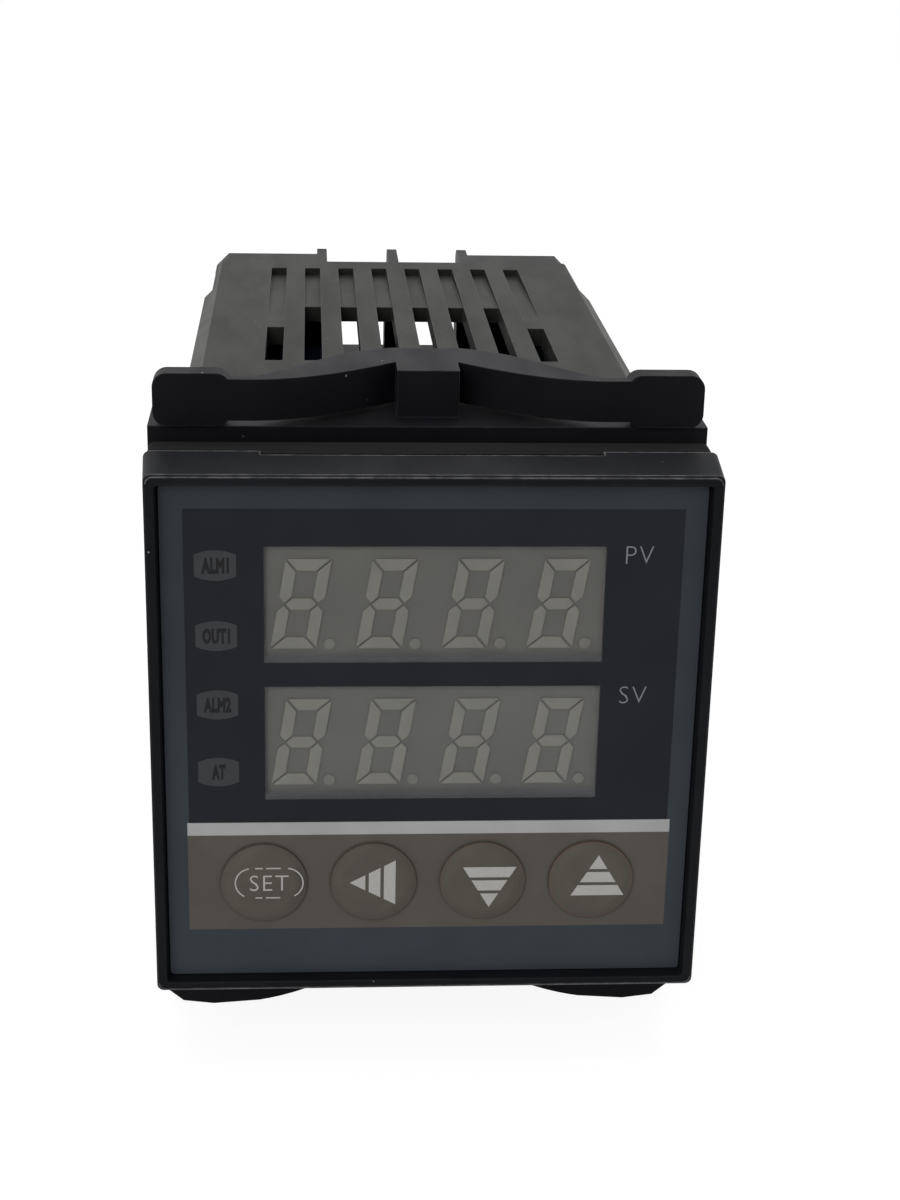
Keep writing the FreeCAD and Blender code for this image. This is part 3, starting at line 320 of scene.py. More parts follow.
@dataclass(frozen=True)
class MouldedPlastic:
    """Injection-moulded plastic: mottled colour, spark-eroded grain, pale edges for rubbing and painted
    highlight, and a little dust.

    Where collar is given, the plastic in front of that depth is rough and painted dark, as painted shade.
    Where corner is given, the corners that far out, across plus up, are painted pale, as a painted
    highlight.
    """

    name: str
    base: Colour
    cast: Colour
    blotch: float = 9 * MM
    grain: float = 0.35 * MM
    grain_depth: float = 0.006 * MM
    streak: float = 3 * MM
    smooth: float = 0.38
    rough: float = 0.56
    gloss: float = 0.2
    edge: float = 0.12 * MM
    dust: float = 0.0
    dust_gap: float = 2.2 * MM
    dust_size: tuple[float, float] = (0.025, 0.035)
    dust_patch: float = 14 * MM
    dust_span: tuple[float, float] = (0.42, 0.54)
    speck: Colour = (0.45, 0.45, 0.44)
    edge_wear_and_highlight: float = 0.0
    edge_wear_and_highlight_width: float = 0.16 * MM
    edge_highlight_from: float = 0.0
    edge_highlight_fade: float = 0.15 * MM
    edge_wear_and_highlight_break: float = 1.1 * MM
    worn_and_highlit: Colour = (0.18, 0.18, 0.185)
    collar: float | None = None
    collar_fade: float = 0.3 * MM
    collar_shade: Colour = (0.002, 0.0022, 0.0025)
    collar_shade_share: float = 0.75
    corner: float | None = None
    corner_start: float = 3.3 * MM
    corner_fade: float = 0.1 * MM
    corner_patch: float = 2.5 * MM
    chamfer_highlight: Colour = shade(70, 70, 66)

    def worn_and_highlit_edges(self, bench: NodeBench) -> Socket:
        """Finds the edges that are painted pale, in a broken line, as rubbing and as a painted highlight.

        Args:
            bench: The material's node tree.

        Returns:
            How far they are painted pale, from 0 to 1.
        """
        broken = bench.step(bench.noise(self.edge_wear_and_highlight_break, 4), *COVER_SPAN, 0.4, 1.0)
        worn_and_highlit = bench.product(bench.sharpness(self.edge_wear_and_highlight_width), self.edge_wear_and_highlight)
        if self.edge_highlight_from > 0:
            level = bench.calc("ABSOLUTE", bench.axes()[2])
            outer = bench.step(level, self.edge_highlight_from, self.edge_highlight_from + self.edge_highlight_fade)
            worn_and_highlit = bench.product(worn_and_highlit, outer)
        return bench.product(worn_and_highlit, broken)

    def dust_specks(self, bench: NodeBench) -> Socket:
        """Scatters specks of dust, in patches.

        Args:
            bench: The material's node tree.

        Returns:
            How much of the plastic they hide, from 0 to 1.
        """
        specks = bench.within(bench.cells(self.dust_gap), *self.dust_size)
        patch = bench.step(bench.noise(self.dust_patch, 2), *self.dust_span)
        return bench.product(specks, bench.product(patch, self.dust))

    def painted_chamfer_highlight(self, bench: NodeBench) -> Socket:
        """Paints the cut corners behind the collar pale, as a painted highlight on the chamfers.

        Args:
            bench: The material's node tree.

        Returns:
            How far they are painted pale, from 0 to 1.
        """
        across, depth, up = bench.axes()
        reach = bench.calc("ADD", bench.calc("ABSOLUTE", across), bench.calc("ABSOLUTE", up))
        chamfer_lit = bench.step(reach, self.corner - self.corner_fade, self.corner)
        behind = bench.step(depth, self.corner_start, self.corner_start + self.corner_fade)
        return bench.product(chamfer_lit, behind, bench.drift(self.corner_patch, 4, 0.6, 1.0))

    def build(self) -> Material:
        """Makes the material.

        Returns:
            The material, with its nodes joined.
        """
        bench = NodeBench(self.name)
        colour = bench.blend(bench.drift(self.blotch, 4), self.base, self.cast)
        grain = bench.noise(self.grain, 3)
        streaks = bench.noise(self.streak, 5, (1.0, 0.25, 1.0))
        rough = bench.step(streaks, *DRIFT_SPAN, self.smooth, self.rough)
        # Edges painted pale, as rubbing and as a painted highlight.
        if self.edge_wear_and_highlight > 0:
            colour = bench.blend(self.worn_and_highlit_edges(bench), colour, self.worn_and_highlit)
        if self.dust > 0:
            colour = bench.blend(self.dust_specks(bench), colour, self.speck)
        # The collar in front of that depth is made rough and painted dark, as painted shade.
        if self.collar is not None:
            front = bench.within(bench.axes()[1], self.collar - self.collar_fade, self.collar_fade)
            colour = bench.blend(bench.product(front, self.collar_shade_share), colour, self.collar_shade)
            rough = bench.calc("MAXIMUM", rough, front)
        # The chamfered corners are painted pale, as a painted highlight.
        if self.corner is not None:
            colour = bench.blend(self.painted_chamfer_highlight(bench), colour, self.chamfer_highlight)
        return bench.surface(
            Base_Color=colour,
            Roughness=rough,
            Specular_IOR_Level=self.gloss,
            Normal=bench.relief(grain, self.grain_depth, self.edge),
        )


@dataclass(frozen=True)
class PlatedMetal:
    """Bare or plated metal with rolled streaks and dull patches."""

    name: str
    base: Colour
    tarnish: Colour
    smooth: float = 0.22
    rough: float = 0.42
    patch: float = 1.6 * MM
    patch_span: tuple[float, float] = (0.42, 0.72)
    streak: float = 0.4 * MM
    streak_depth: float = 0.002 * MM
    edge: float = 0.1 * MM

    def build(self) -> Material:
        """Makes the material.

        Returns:
            The material, with its nodes joined.
        """
        bench = NodeBench(self.name)
        dull = bench.step(bench.noise(self.patch, 4), *self.patch_span)
        streaks = bench.noise(self.streak, 3, (1.0, 0.12, 1.0))
        return bench.surface(
            Base_Color=bench.blend(dull, self.base, self.tarnish),
            Metallic=1.0,
            Roughness=bench.step(streaks, *DRIFT_SPAN, self.smooth, self.rough),
            Normal=bench.relief(streaks, self.streak_depth, self.edge),
        )


@dataclass(frozen=True)
class CircuitBoard:
    """Green solder mask over straight copper tracks, with rows of tinned pads."""

    name: str
    mask: Colour = (0.01, 0.075, 0.028)
    track: Colour = (0.026, 0.15, 0.055)
    pad: Colour = (0.5, 0.5, 0.47)
    pitch: float = 1.27 * MM
    track_width: float = 0.42 * MM
    track_fade: float = 0.06 * MM
    pad_radius: float = 0.42 * MM
    pad_fade: float = 0.05 * MM
    copper: float = 0.02 * MM
    edge: float = 0.1 * MM
    turn_patch: float = 8 * MM
    track_patch: float = 4 * MM
    pad_patch: float = 5 * MM

    def stripes(self, bench: NodeBench, along: Socket) -> Socket:
        """Parallel tracks across one direction.

        Args:
            bench: The material's node tree.
            along: The coordinate that the tracks follow each other in.

        Returns:
            1 on a track and 0 between two.
        """
        beside = bench.calc("PINGPONG", along, self.pitch / 2)
        return bench.within(beside, self.track_width / 2, self.track_fade)

    def build(self) -> Material:
        """Makes the material.

        Returns:
            The material, with its nodes joined.
        """
        bench = NodeBench(self.name)
        across, depth, up = bench.axes()
        along = bench.calc("ADD", across, depth)
        turn = bench.patches(self.turn_patch, 0, 0.5)
        level = bench.product(self.stripes(bench, up), turn)
        upright = bench.product(self.stripes(bench, along), bench.calc("SUBTRACT", 1.0, turn))
        covered = bench.patches(self.track_patch, 0, 0.45)
        tracks = bench.product(bench.calc("ADD", level, upright), covered)
        row, column = (bench.calc("PINGPONG", value, self.pitch) for value in (up, along))
        pads = bench.within(bench.distance(row, column), self.pad_radius, self.pad_fade)
        pads = bench.product(pads, bench.patches(self.pad_patch, 1, 0.55))
        colour = bench.blend(tracks, self.mask, self.track)
        return bench.surface(
            Base_Color=bench.blend(pads, colour, self.pad),
            Roughness=bench.drift(2 * MM, 3, 0.3, 0.45),
            Specular_IOR_Level=0.4,
            Normal=bench.relief(bench.calc("MAXIMUM", tracks, pads), self.copper, self.edge),
        )


@dataclass(frozen=True)
class WoundWire:
    """Turns of enamelled wire or tape side by side, across the winding's axis."""

    name: str
    base: Colour
    groove: Colour
    pitch: float = 0.45 * MM
    depth: float = 0.05 * MM

    def build(self) -> Material:
        """Makes the material.

        Returns:
            The material, with its nodes joined.
        """
        bench = NodeBench(self.name)
        angle = bench.product(bench.axes()[1], 2 * math.pi / self.pitch)
        wave = bench.step(bench.calc("SINE", angle), -1.0, 1.0)
        return bench.surface(
            Base_Color=bench.blend(wave, self.groove, self.base),
            Roughness=bench.drift(1.2 * MM, 3, 0.3, 0.5),
            Normal=bench.relief(wave, self.depth),
        )


@dataclass(frozen=True)
class SegmentResin:
    """Milky resin in a display's segments, with slightly duller decimal points."""

    name: str
    base: Colour
    warm: Colour
    point_share: float = 1.0
    point: tuple[float, float] = (-8.62 * MM, 8.6 * MM)
    pitches: tuple[float, float] = (7.15 * MM, 12.5 * MM)
    point_reach: float = 0.66 * MM
    point_fade: float = 0.05 * MM
    screen_gamma: float = 2.2
    cloud: float = 2.4 * MM
    depth: float = 0.3 * MM

    def points(self, bench: NodeBench) -> Socket:
        """Finds the decimal points, one to each digit of both rows.

        Args:
            bench: The material's node tree.

        Returns:
            1 on a point and 0 elsewhere.
        """
        across, _, up = bench.axes()
        away: Number = 0.0
        for value, middle, pitch in zip((across, up), self.point, self.pitches):
            offset = bench.calc("PINGPONG", bench.calc("SUBTRACT", value, middle), pitch / 2)
            away = bench.calc("MAXIMUM", away, offset)
        return bench.within(away, self.point_reach, self.point_fade)

    def build(self) -> Material:
        """Makes the material.

        Returns:
            The material, with its nodes joined.
        """
        bench = NodeBench(self.name)
        colour = bench.blend(bench.drift(self.cloud, 3), self.base, self.warm)
        if self.point_share < 1:
            dull = tuple(part * self.point_share**self.screen_gamma for part in self.base)
            colour = bench.blend(self.points(bench), colour, dull)
        return bench.surface(
            Base_Color=colour,
            Roughness=bench.drift(0.8 * MM, 2, 0.5, 0.7),
            Subsurface_Weight=0.15,
            Subsurface_Scale=self.depth,
            Specular_IOR_Level=0.2,
            Normal=bench.relief(bench.noise(0.3 * MM), 0.003 * MM),
        )


@dataclass(frozen=True)
class PrintInk:
    """Screen-printed ink with pinholes and slightly uneven cover."""

    name: str
    base: Colour
    thin: Colour
    pinhole: float = 0.16 * MM

    def build(self) -> Material:
        """Makes the material.

        Returns:
            The material, with its nodes joined.
        """
        bench = NodeBench(self.name)
        cover = bench.step(bench.noise(self.pinhole, 3), *COVER_SPAN)
        return bench.surface(
            Base_Color=bench.blend(cover, self.thin, self.base),
            Roughness=bench.drift(0.5 * MM, 2, 0.45, 0.6),
            Specular_IOR_Level=0.2,
            Normal=bench.relief(cover, 0.002 * MM),
        )


@dataclass(frozen=True)
class Zone:
    """A printed rectangle on the front film, in millimetres from the face's middle."""

    left: float
    right: float
    bottom: float
    top: float
    bleed: float = 0.04

    def mask(self, bench: NodeBench) -> Socket:
        """Finds what lies inside the rectangle.

        Args:
            bench: The material's node tree.

        Returns:
            1 inside and 0 outside.
        """
        across, _, up = bench.axes()
        bands = []
        for value, low, high in ((across, self.left, self.right), (up, self.bottom, self.top)):
            rise = bench.step(value, (low - self.bleed) * MM, (low + self.bleed) * MM)
            fall = bench.within(value, (high - self.bleed) * MM, 2 * self.bleed * MM)
            bands.append(bench.product(rise, fall))
        return bench.product(*bands)


@dataclass(frozen=True)
class PrintedFilm:
    """The front film: colours printed on its back, and two smoked windows left clear."""

    name: str = "printed_film_finish"
    border: Colour = shade(47, 51, 56)
    # The border's paler colour at the bottom is painted light.
    lower_border: Colour = shade(53, 58, 64)
    field: Colour = shade(29, 31, 35)
    bar: Colour = shade(154, 155, 154)
    strip: Colour = shade(81, 77, 72)
    # The windows' hazes; the lower one is paler, as painted light.
    lit_hazes: tuple[Colour, Colour] = (shade(76, 77, 79), shade(92, 95, 99))
    edge_haze: Colour = shade(97, 99, 102)
    half_face: float = 22.0 * MM
    field_zone: Zone = Zone(-20.6, 20.7, -7.8, 20.5)
    bar_zone: Zone = Zone(-20.75, 20.95, -9.0, -7.8)
    strip_zone: Zone = Zone(-20.75, 20.95, -18.1, -9.0)
    windows: tuple[Zone, Zone] = (Zone(-14.05, 14.3, 7.0, 17.25), Zone(-14.05, 14.3, -5.6, 4.8))
    haze_rise: float = 2.5
    mist: tuple[float, float] = (-0.2, 1.2)
    mist_share: float = 0.5
    smoke: Colour = (0.93, 0.93, 0.92)
    haze_share: float = 0.1

    def print_colours(self, bench: NodeBench) -> Socket:
        """Prints the border, painted paler downwards as painted light, and the field, strip and bar on it.

        Args:
            bench: The material's node tree.

        Returns:
            The printed colour.
        """
        # The border is painted paler towards the bottom, as painted light.
        light_rise = bench.step(bench.axes()[2], -self.half_face, self.half_face)
        colour = bench.blend(light_rise, self.lower_border, self.border)
        printed = ((self.field_zone, self.field), (self.strip_zone, self.strip), (self.bar_zone, self.bar))
        for zone, ink in printed:
            colour = bench.blend(zone.mask(bench), colour, ink)
        return colour

    def build(self) -> Material:
        """Makes the material.

        Returns:
            The material, with its nodes joined.
        """
        bench = NodeBench(self.name)
        up = bench.axes()[2]
        colour = self.print_colours(bench)
        opening: Number = 0.0
        for window, haze in zip(self.windows, self.lit_hazes):
            mask = window.mask(bench)
            fade = bench.step(up, window.bottom * MM, (window.bottom + self.haze_rise) * MM)
            colour = bench.blend(mask, colour, bench.blend(fade, self.edge_haze, haze))
            start, end = ((window.bottom + rise) * MM for rise in self.mist)
            clear = bench.product(mask, bench.step(up, start, end, self.mist_share, 1.0))
            opening = bench.calc("MAXIMUM", opening, clear)
        mottle = bench.drift(6 * MM, 3, 0.94, 1.06)
        mottled = bench.add("VectorMath", colour, operation="SCALE", Scale=mottle)
        solid = bench.add(
            "BsdfPrincipled",
            Base_Color=mottled.outputs[0],
            Roughness=bench.drift(FILM_WAVE, 4, *FILM_ROUGHNESS),
            Specular_IOR_Level=FILM_GLOSS,
            Normal=bench.relief(bench.noise(FILM_TOOTH, 2), 0.0015 * MM),
        )
        glass = bench.add("BsdfTransparent", Color=self.smoke)
        share = bench.product(opening, 1 - self.haze_share)
        return bench.close(bench.add("MixShader", share, solid.outputs[0], glass.outputs[0]))


Finish = MouldedPlastic | PlatedMetal | CircuitBoard | WoundWire | SegmentResin
Dressed = tuple[tuple[Finish, tuple[str, ...]], ...]


# ---- Handwork in the mesh editor ----


class Bench:
    """Operators of the mesh editor, in the order a modeller would use them."""

    # An arc starts as a hair-thin ribbon, and its points this close are merged, both in widths.
    HAIR = 0.01
    SEAM = 0.05
    ARC_STEP = 6
    # How far apart letters stand, and how thick they are before they are sized.
    LETTER_SPACE = 1.12
    LETTER_DEPTH = 0.02

    @staticmethod
    def clear() -> None:
        """Leaves edit mode and deselects every object."""
        if bpy.context.object is not None and bpy.context.object.mode != "OBJECT":
            bpy.ops.object.mode_set(mode="OBJECT")
        bpy.ops.object.select_all(action="DESELECT")

    @staticmethod
    def hold(piece: Piece) -> None:
        """Makes one piece the only selected and the active one.

        Args:
            piece: The piece.
        """
        Bench.clear()
        piece.select_set(True)
        bpy.context.view_layer.objects.active = piece

    @staticmethod
    @contextmanager
    def editing(piece: Piece, action: str = "SELECT") -> Iterator[None]:
        """Opens a piece in edit mode, and leaves it again.

        Args:
            piece: The piece to work on.
            action: SELECT to start with all of it selected, or DESELECT with none of it.

        Yields:
            Nothing, while the piece is open.
        """
        Bench.hold(piece)
        bpy.ops.object.mode_set(mode="EDIT")
        bpy.ops.mesh.select_all(action=action)
        yield
        bpy.ops.object.mode_set(mode="OBJECT")

    @staticmethod
    def settle(piece: Piece) -> None:
        """Moves a piece's place, turn and scale into its mesh."""
        Bench.hold(piece)
        bpy.ops.object.transform_apply(location=True, rotation=True, scale=True)

    @staticmethod
    def front_plate(name: str, centre: Vector, width: float, height: float) -> Piece:
        """Starts a flat plate that faces the front.

        Args:
            name: The piece's name.
            centre: The plate's middle.
            width: Its size along X.
            height: Its size along Z.

        Returns:
            A plane with its normal towards -Y.
        """
        Bench.clear()
        bpy.ops.mesh.primitive_plane_add(size=1.0, location=centre, rotation=(math.pi / 2, 0, 0))
        piece = bpy.context.object
        piece.name = name
        piece.scale = (width, height, 1.0)
        Bench.settle(piece)
        return piece

    @staticmethod
    def pick(piece: Piece, test: Callable[[Vector], bool]) -> None:
        """Selects the points that pass a test, in edit mode.

        Args:
            piece: The piece in hand.
            test: Says whether a point, in metres, is wanted.
        """
        bpy.ops.mesh.select_mode(type="VERT")
        shape = bmesh.from_edit_mesh(piece.data)
        for vertex in shape.verts:
            vertex.select_set(test(vertex.co))
        shape.select_flush_mode()
        bmesh.update_edit_mesh(piece.data)

    @staticmethod
    def thicken(piece: Piece, depth: float) -> None:
        """Gives a front-facing sheet its thickness, towards the front.

        Args:
            piece: The flat sheet.
            depth: Its thickness.
        """
        with Bench.editing(piece, "DESELECT"):
            bpy.ops.mesh.select_mode(type="FACE")
            shape = bmesh.from_edit_mesh(piece.data)
            for face in shape.faces:
                face.select_set(face.normal.y > 0)
            bmesh.update_edit_mesh(piece.data)
            bpy.ops.mesh.flip_normals()
        solid = piece.modifiers.new("thickness", "SOLIDIFY")
        solid.thickness = depth
        solid.offset = 1.0
        solid.use_even_offset = True
        bpy.ops.object.modifier_apply(modifier=solid.name)
        with Bench.editing(piece):
            bpy.ops.mesh.normals_make_consistent(inside=False)

    @staticmethod
    def gather(name: str, pieces: list[Piece]) -> Piece:
        """Joins pieces into one object.

        Args:
            name: The joined piece's name.
            pieces: The pieces, of which the first takes in the others.

        Returns:
            The joined piece.
        """
        Bench.hold(pieces[0])
        for piece in pieces[1:]:
            piece.select_set(True)
        if len(pieces) > 1:
            bpy.ops.object.join()
        joined = bpy.context.object
        joined.name = name
        joined.data.name = name
        return joined

    @staticmethod
    def taper(name: str, start: Vector, end: Vector, first: float, last: float) -> Piece:
        """A flat stroke that faces the front and narrows along its length.

        Args:
            name: The piece's name.
            start: The middle of its first end.
            end: The middle of its last end.
            first: The width of its first end.
            last: The width of its last end, or 0 for a point.

        Returns:
            The stroke as a flat sheet.
        """
        run = end - start
        piece = Bench.front_plate(name, Vector((0, 0, 0)), run.length, first)
        with Bench.editing(piece, "DESELECT"):
            Bench.pick(piece, lambda point: point.x > 0)
            if last <= 0:
                bpy.ops.mesh.merge(type="CENTER")
            else:
                bpy.ops.transform.resize(value=(1.0, 1.0, last / first))
        piece.rotation_euler = (0.0, -math.atan2(run.z, run.x), 0.0)
        piece.location = (start + end) / 2
        Bench.settle(piece)
        return piece

    @staticmethod
    def arc(name: str, centre: Vector, radius: float, width: float, begin: float, sweep: float) -> Piece:
        """A flat ribbon bent round a point, spun from one short edge.

        Args:
            name: The piece's name.
            centre: The middle of the bend.
            radius: The radius of the ribbon's middle line.
            width: The ribbon's width.
            begin: The angle of its first end, from +X towards +Z, in degrees.
            sweep: The angle it covers, in degrees.

        Returns:
            The ribbon as a flat sheet.
        """
        along = Vector((math.cos(math.radians(begin)), 0.0, math.sin(math.radians(begin))))
        inner, outer = (centre + along * (radius + side * width / 2) for side in (-1, 1))
        piece = Bench.taper(name, inner, outer, width * Bench.HAIR, width * Bench.HAIR)
        with Bench.editing(piece):
            bpy.ops.mesh.remove_doubles(threshold=width * Bench.SEAM)
            bpy.ops.mesh.select_all(action="SELECT")
            bpy.ops.mesh.spin(
                steps=int(sweep / Bench.ARC_STEP),
                angle=math.radians(sweep),
                center=centre,
                axis=(0.0, 1.0, 0.0),
            )
            bpy.ops.mesh.select_all(action="SELECT")
            bpy.ops.mesh.remove_doubles(threshold=width * Bench.SEAM)
        return piece

    @staticmethod
    def lettering(words: str, centre: Vector, size: tuple[float, float, float], weight: float) -> Piece:
        """Raised letters that face the front, drawn to a given size.

        Args:
            words: The letters.
            centre: The middle of the letters' back.
            size: Their length, thickness and height.
            weight: How far their strokes are widened, or narrowed if it is below 0.

        Returns:
            The letters as a closed solid.
        """
        Bench.clear()
        bpy.ops.object.text_add(location=(0.0, 0.0, 0.0))
        text = bpy.context.object
        text.data.body = words
        text.data.resolution_u = 3
        text.data.space_character = Bench.LETTER_SPACE
        text.data.extrude = Bench.LETTER_DEPTH
        text.data.bevel_depth = max(weight, 0.0)
        text.data.offset = min(weight, 0.0)
        text.data.bevel_resolution = 0
        bpy.ops.object.convert(target="MESH")
        piece = bpy.context.object
        piece.name = words
        points = [point.co for point in piece.data.vertices]
        low, high = (Vector(map(most, zip(*points))) for most in (min, max))
        piece.scale = tuple(size[order] / (high - low)[axis] for axis, order in enumerate((0, 2, 1)))
        piece.rotation_euler = (math.pi / 2, 0.0, 0.0)
        middle = (low + high) / 2
        across, upwards = middle.x * piece.scale.x, middle.y * piece.scale.y
        piece.location = centre - Vector((across, size[1] / 2, upwards))
        Bench.settle(piece)
        with Bench.editing(piece):
            bpy.ops.mesh.remove_doubles(threshold=1e-7)
            bpy.ops.mesh.normals_make_consistent(inside=False)
        return piece


def dress(node: str, material: Material) -> None:
    """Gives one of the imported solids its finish.

    Args:
        node: The solid's name.
        material: The finish.
    """
    piece = bpy.data.objects[node]
    if not piece.data.materials:
        piece.data.materials.append(material)
    for slot in piece.material_slots:
        slot.material = material
    LOG.info("dressed %s in %s", node, material.name)


def fit(piece: Piece, body: str, material: Material) -> None:
    """Fixes a new piece to the body that carries it.

    Args:
        piece: The new piece.
        body: The body it moves with.
        material: The finish.
    """
    Bench.settle(piece)
    piece.data.materials.clear()
    piece.data.materials.append(material)
    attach(piece, body)
    LOG.info("fitted %s to %s, %d faces", piece.name, body, len(piece.data.polygons))


# ---- Sub-assemblies ----


class SubAssembly:
    """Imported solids, each group of them in a finish of its own."""

    def groups(self) -> Dressed:
        """Each finish with the solids that wear it."""
        raise NotImplementedError

    def build(self) -> None:
        """Dresses the solids."""
        for finish, nodes in self.groups():
            material = finish.build()
            for node in nodes:
                dress(node, material)


@dataclass
class Housing(SubAssembly):
    """The case, its terminal base, the panel bracket and the bezel."""

    # The case's collar is painted dark, as painted shade, and its chamfered corners pale, as a painted
    # highlight.
    case: MouldedPlastic = MouldedPlastic(
        "case_finish", shade(32, 32, 30), shade(35, 35, 33), gloss=0.137, smooth=0.52, rough=0.6,
        dust=0.4, edge_wear_and_highlight=0.35, collar=2.0 * MM, corner=43.08 * MM,
    )
    base: MouldedPlastic = MouldedPlastic(
        "terminal_base_finish", shade(32, 32, 31), shade(36, 36, 35), gloss=0.137, smooth=0.52, rough=0.6,
        edge_wear_and_highlight=0.35,
    )
    bracket: MouldedPlastic = MouldedPlastic(
        "bracket_finish", shade(16, 16, 20), shade(20, 20, 24), gloss=0.055, smooth=0.44, rough=0.52,
        dust=0.6, edge_wear_and_highlight=0.15,
    )
    # The bezel's pale top and bottom edges are a painted highlight.
    bezel: MouldedPlastic = MouldedPlastic(
        "bezel_finish", shade(17, 18, 21), shade(22, 23, 26), gloss=0.05, smooth=0.4, rough=0.5,
        dust=0.8, edge_wear_and_highlight=1.0, edge_wear_and_highlight_width=0.24 * MM, edge_highlight_from=22.8 * MM, worn_and_highlit=(0.26, 0.26, 0.27),
    )

    def groups(self) -> Dressed:
        """Pairs each finish with its solids.

        Returns:
            Each finish with the moulding that wears it.
        """
        return (
            (self.case, ("case",)),
            (self.base, ("terminal_base",)),
            (self.bracket, ("mounting_bracket",)),
            (self.bezel, ("bezel",)),
        )


@dataclass
class RearTerminals(SubAssembly):
    """The screws, washers and contact plates of the ten terminals."""

    zinc: PlatedMetal = PlatedMetal("zinc_finish", (0.62, 0.62, 0.6), (0.42, 0.4, 0.34))
    brass: PlatedMetal = PlatedMetal("brass_finish", (0.7, 0.52, 0.24), (0.4, 0.27, 0.12))

    def groups(self) -> Dressed:
        """Pairs each finish with its solids.

        Returns:
            Each metal with the terminal parts made of it.
        """
        return (
            (self.zinc, ("terminal_screws", "terminal_washers")),
            (self.brass, ("terminal_contacts",)),
        )


@dataclass
class Displays(SubAssembly):
    """The two four-digit displays and the column of lamps."""

    body: MouldedPlastic = MouldedPlastic(
        "display_finish", shade(120, 119, 118), shade(126, 125, 123), gloss=0.1,
        grain_depth=0.002 * MM, edge=0.05 * MM,
    )
    resin: SegmentResin = SegmentResin(
        "segment_finish", shade(151, 150, 146), shade(157, 155, 149), point_share=0.94
    )
    lamp: SegmentResin = SegmentResin("lamp_finish", (0.5, 0.5, 0.46), (0.56, 0.54, 0.46))

    def groups(self) -> Dressed:
        """Pairs each finish with its solids.

        Returns:
            Each finish with the display parts that wear it.
        """
        return (
            (self.body, ("upper_display", "lower_display")),
            (self.resin, ("upper_segments", "lower_segments")),
            (self.lamp, ("indicator_lamps",)),
        )


@dataclass
class FrontFilm:
    """The printed film, its indicator badges and the row names beside the displays."""

    film: PrintedFilm = PrintedFilm()
    badge: PrintInk = PrintInk("badge_finish", shade(51, 52, 54), shade(48, 49, 52))
    dark: PrintInk = PrintInk("badge_letter_finish", shade(13, 13, 15), shade(17, 18, 20))
    pale: PrintInk = PrintInk("row_name_finish", shade(122, 122, 124), shade(112, 112, 114))
    badge_words: tuple[str, ...] = ("ALM1", "OUT1", "ALM2", "AT")
    badge_x: float = -18.0 * MM
    badge_top: float = 15.6 * MM
    badge_pitch: float = 6.2 * MM
    badge_width: float = 3.45 * MM
    badge_height: float = 2.66 * MM
    badge_bulge: float = 0.38 * MM
    badge_cuts: int = 11
    letter_height: float = 1.4 * MM
    letter_width: float = 0.57 * MM
    letter_weight: float = 0.06
    # Each name, and the place of its middle across and up in millimetres.
    row_names: tuple[tuple[str, float, float], ...] = (("PV", 17.06, 16.5), ("SV", 17.1, 3.95))
    row_height: float = 1.55 * MM
    row_width: float = 2.3 * MM
    row_weight: float = -0.02
    ink: float = 0.012 * MM

    @property
    def front(self) -> float:
        """The depth of the film's front."""
        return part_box("front_film")[0].y

    def build(self) -> None:
        """Dresses the film and prints its marks."""
        dress("front_film", self.film.build())
        self.print_badges()
        self.print_row_names()

    def badge_plate(self, height: float) -> Piece:
        """One badge: straight sides, with its top and bottom edges arched.

        Args:
            height: The height of its middle.

        Returns:
            The badge.
        """
        centre = Vector((self.badge_x, self.front, height))
        straight = self.badge_height - 2 * self.badge_bulge
        plate = Bench.front_plate("badge", centre, self.badge_width, straight)
        with Bench.editing(plate):
            bpy.ops.mesh.subdivide(number_cuts=self.badge_cuts)
            shape = bmesh.from_edit_mesh(plate.data)
            columns = sorted({round(point.co.x - self.badge_x, 7) for point in shape.verts})
            for column in columns:
                share = column / (self.badge_width / 2)
                rise = 1 + 2 * self.badge_bulge / straight * (1 - share**2)
                Bench.pick(plate, lambda point, at=column: abs(point.x - self.badge_x - at) < 1e-6)
                bpy.ops.transform.resize(value=(1.0, 1.0, rise), center_override=centre)
        Bench.thicken(plate, self.ink)
        return plate

    def print_badges(self) -> None:
        """Prints the four badges and the dark letters in them."""
        plates = []
        letters = []
        for row, words in enumerate(self.badge_words):
            height = self.badge_top - row * self.badge_pitch
            plates.append(self.badge_plate(height))
            centre = Vector((self.badge_x, self.front - self.ink, height))
            size = (self.letter_width * len(words), self.ink, self.letter_height)
            letters.append(Bench.lettering(words, centre, size, self.letter_weight))
        fit(Bench.gather("badges", plates), "chassis", self.badge.build())
        fit(Bench.gather("badge_letters", letters), "chassis", self.dark.build())

    def print_row_names(self) -> None:
        """Prints the short names to the right of the two displays."""
        names = []
        for words, across, height in self.row_names:
            centre = Vector((across * MM, self.front, height * MM))
            size = (self.row_width, self.ink, self.row_height)
            names.append(Bench.lettering(words, centre, size, self.row_weight))
        fit(Bench.gather("row_names", names), "chassis", self.pale.build())


class KeyMark(Enum):
    """What is printed on a key."""

    LEGEND = "set"
    LEFT = "shift"
    DOWN = "down"
    UP = "up"


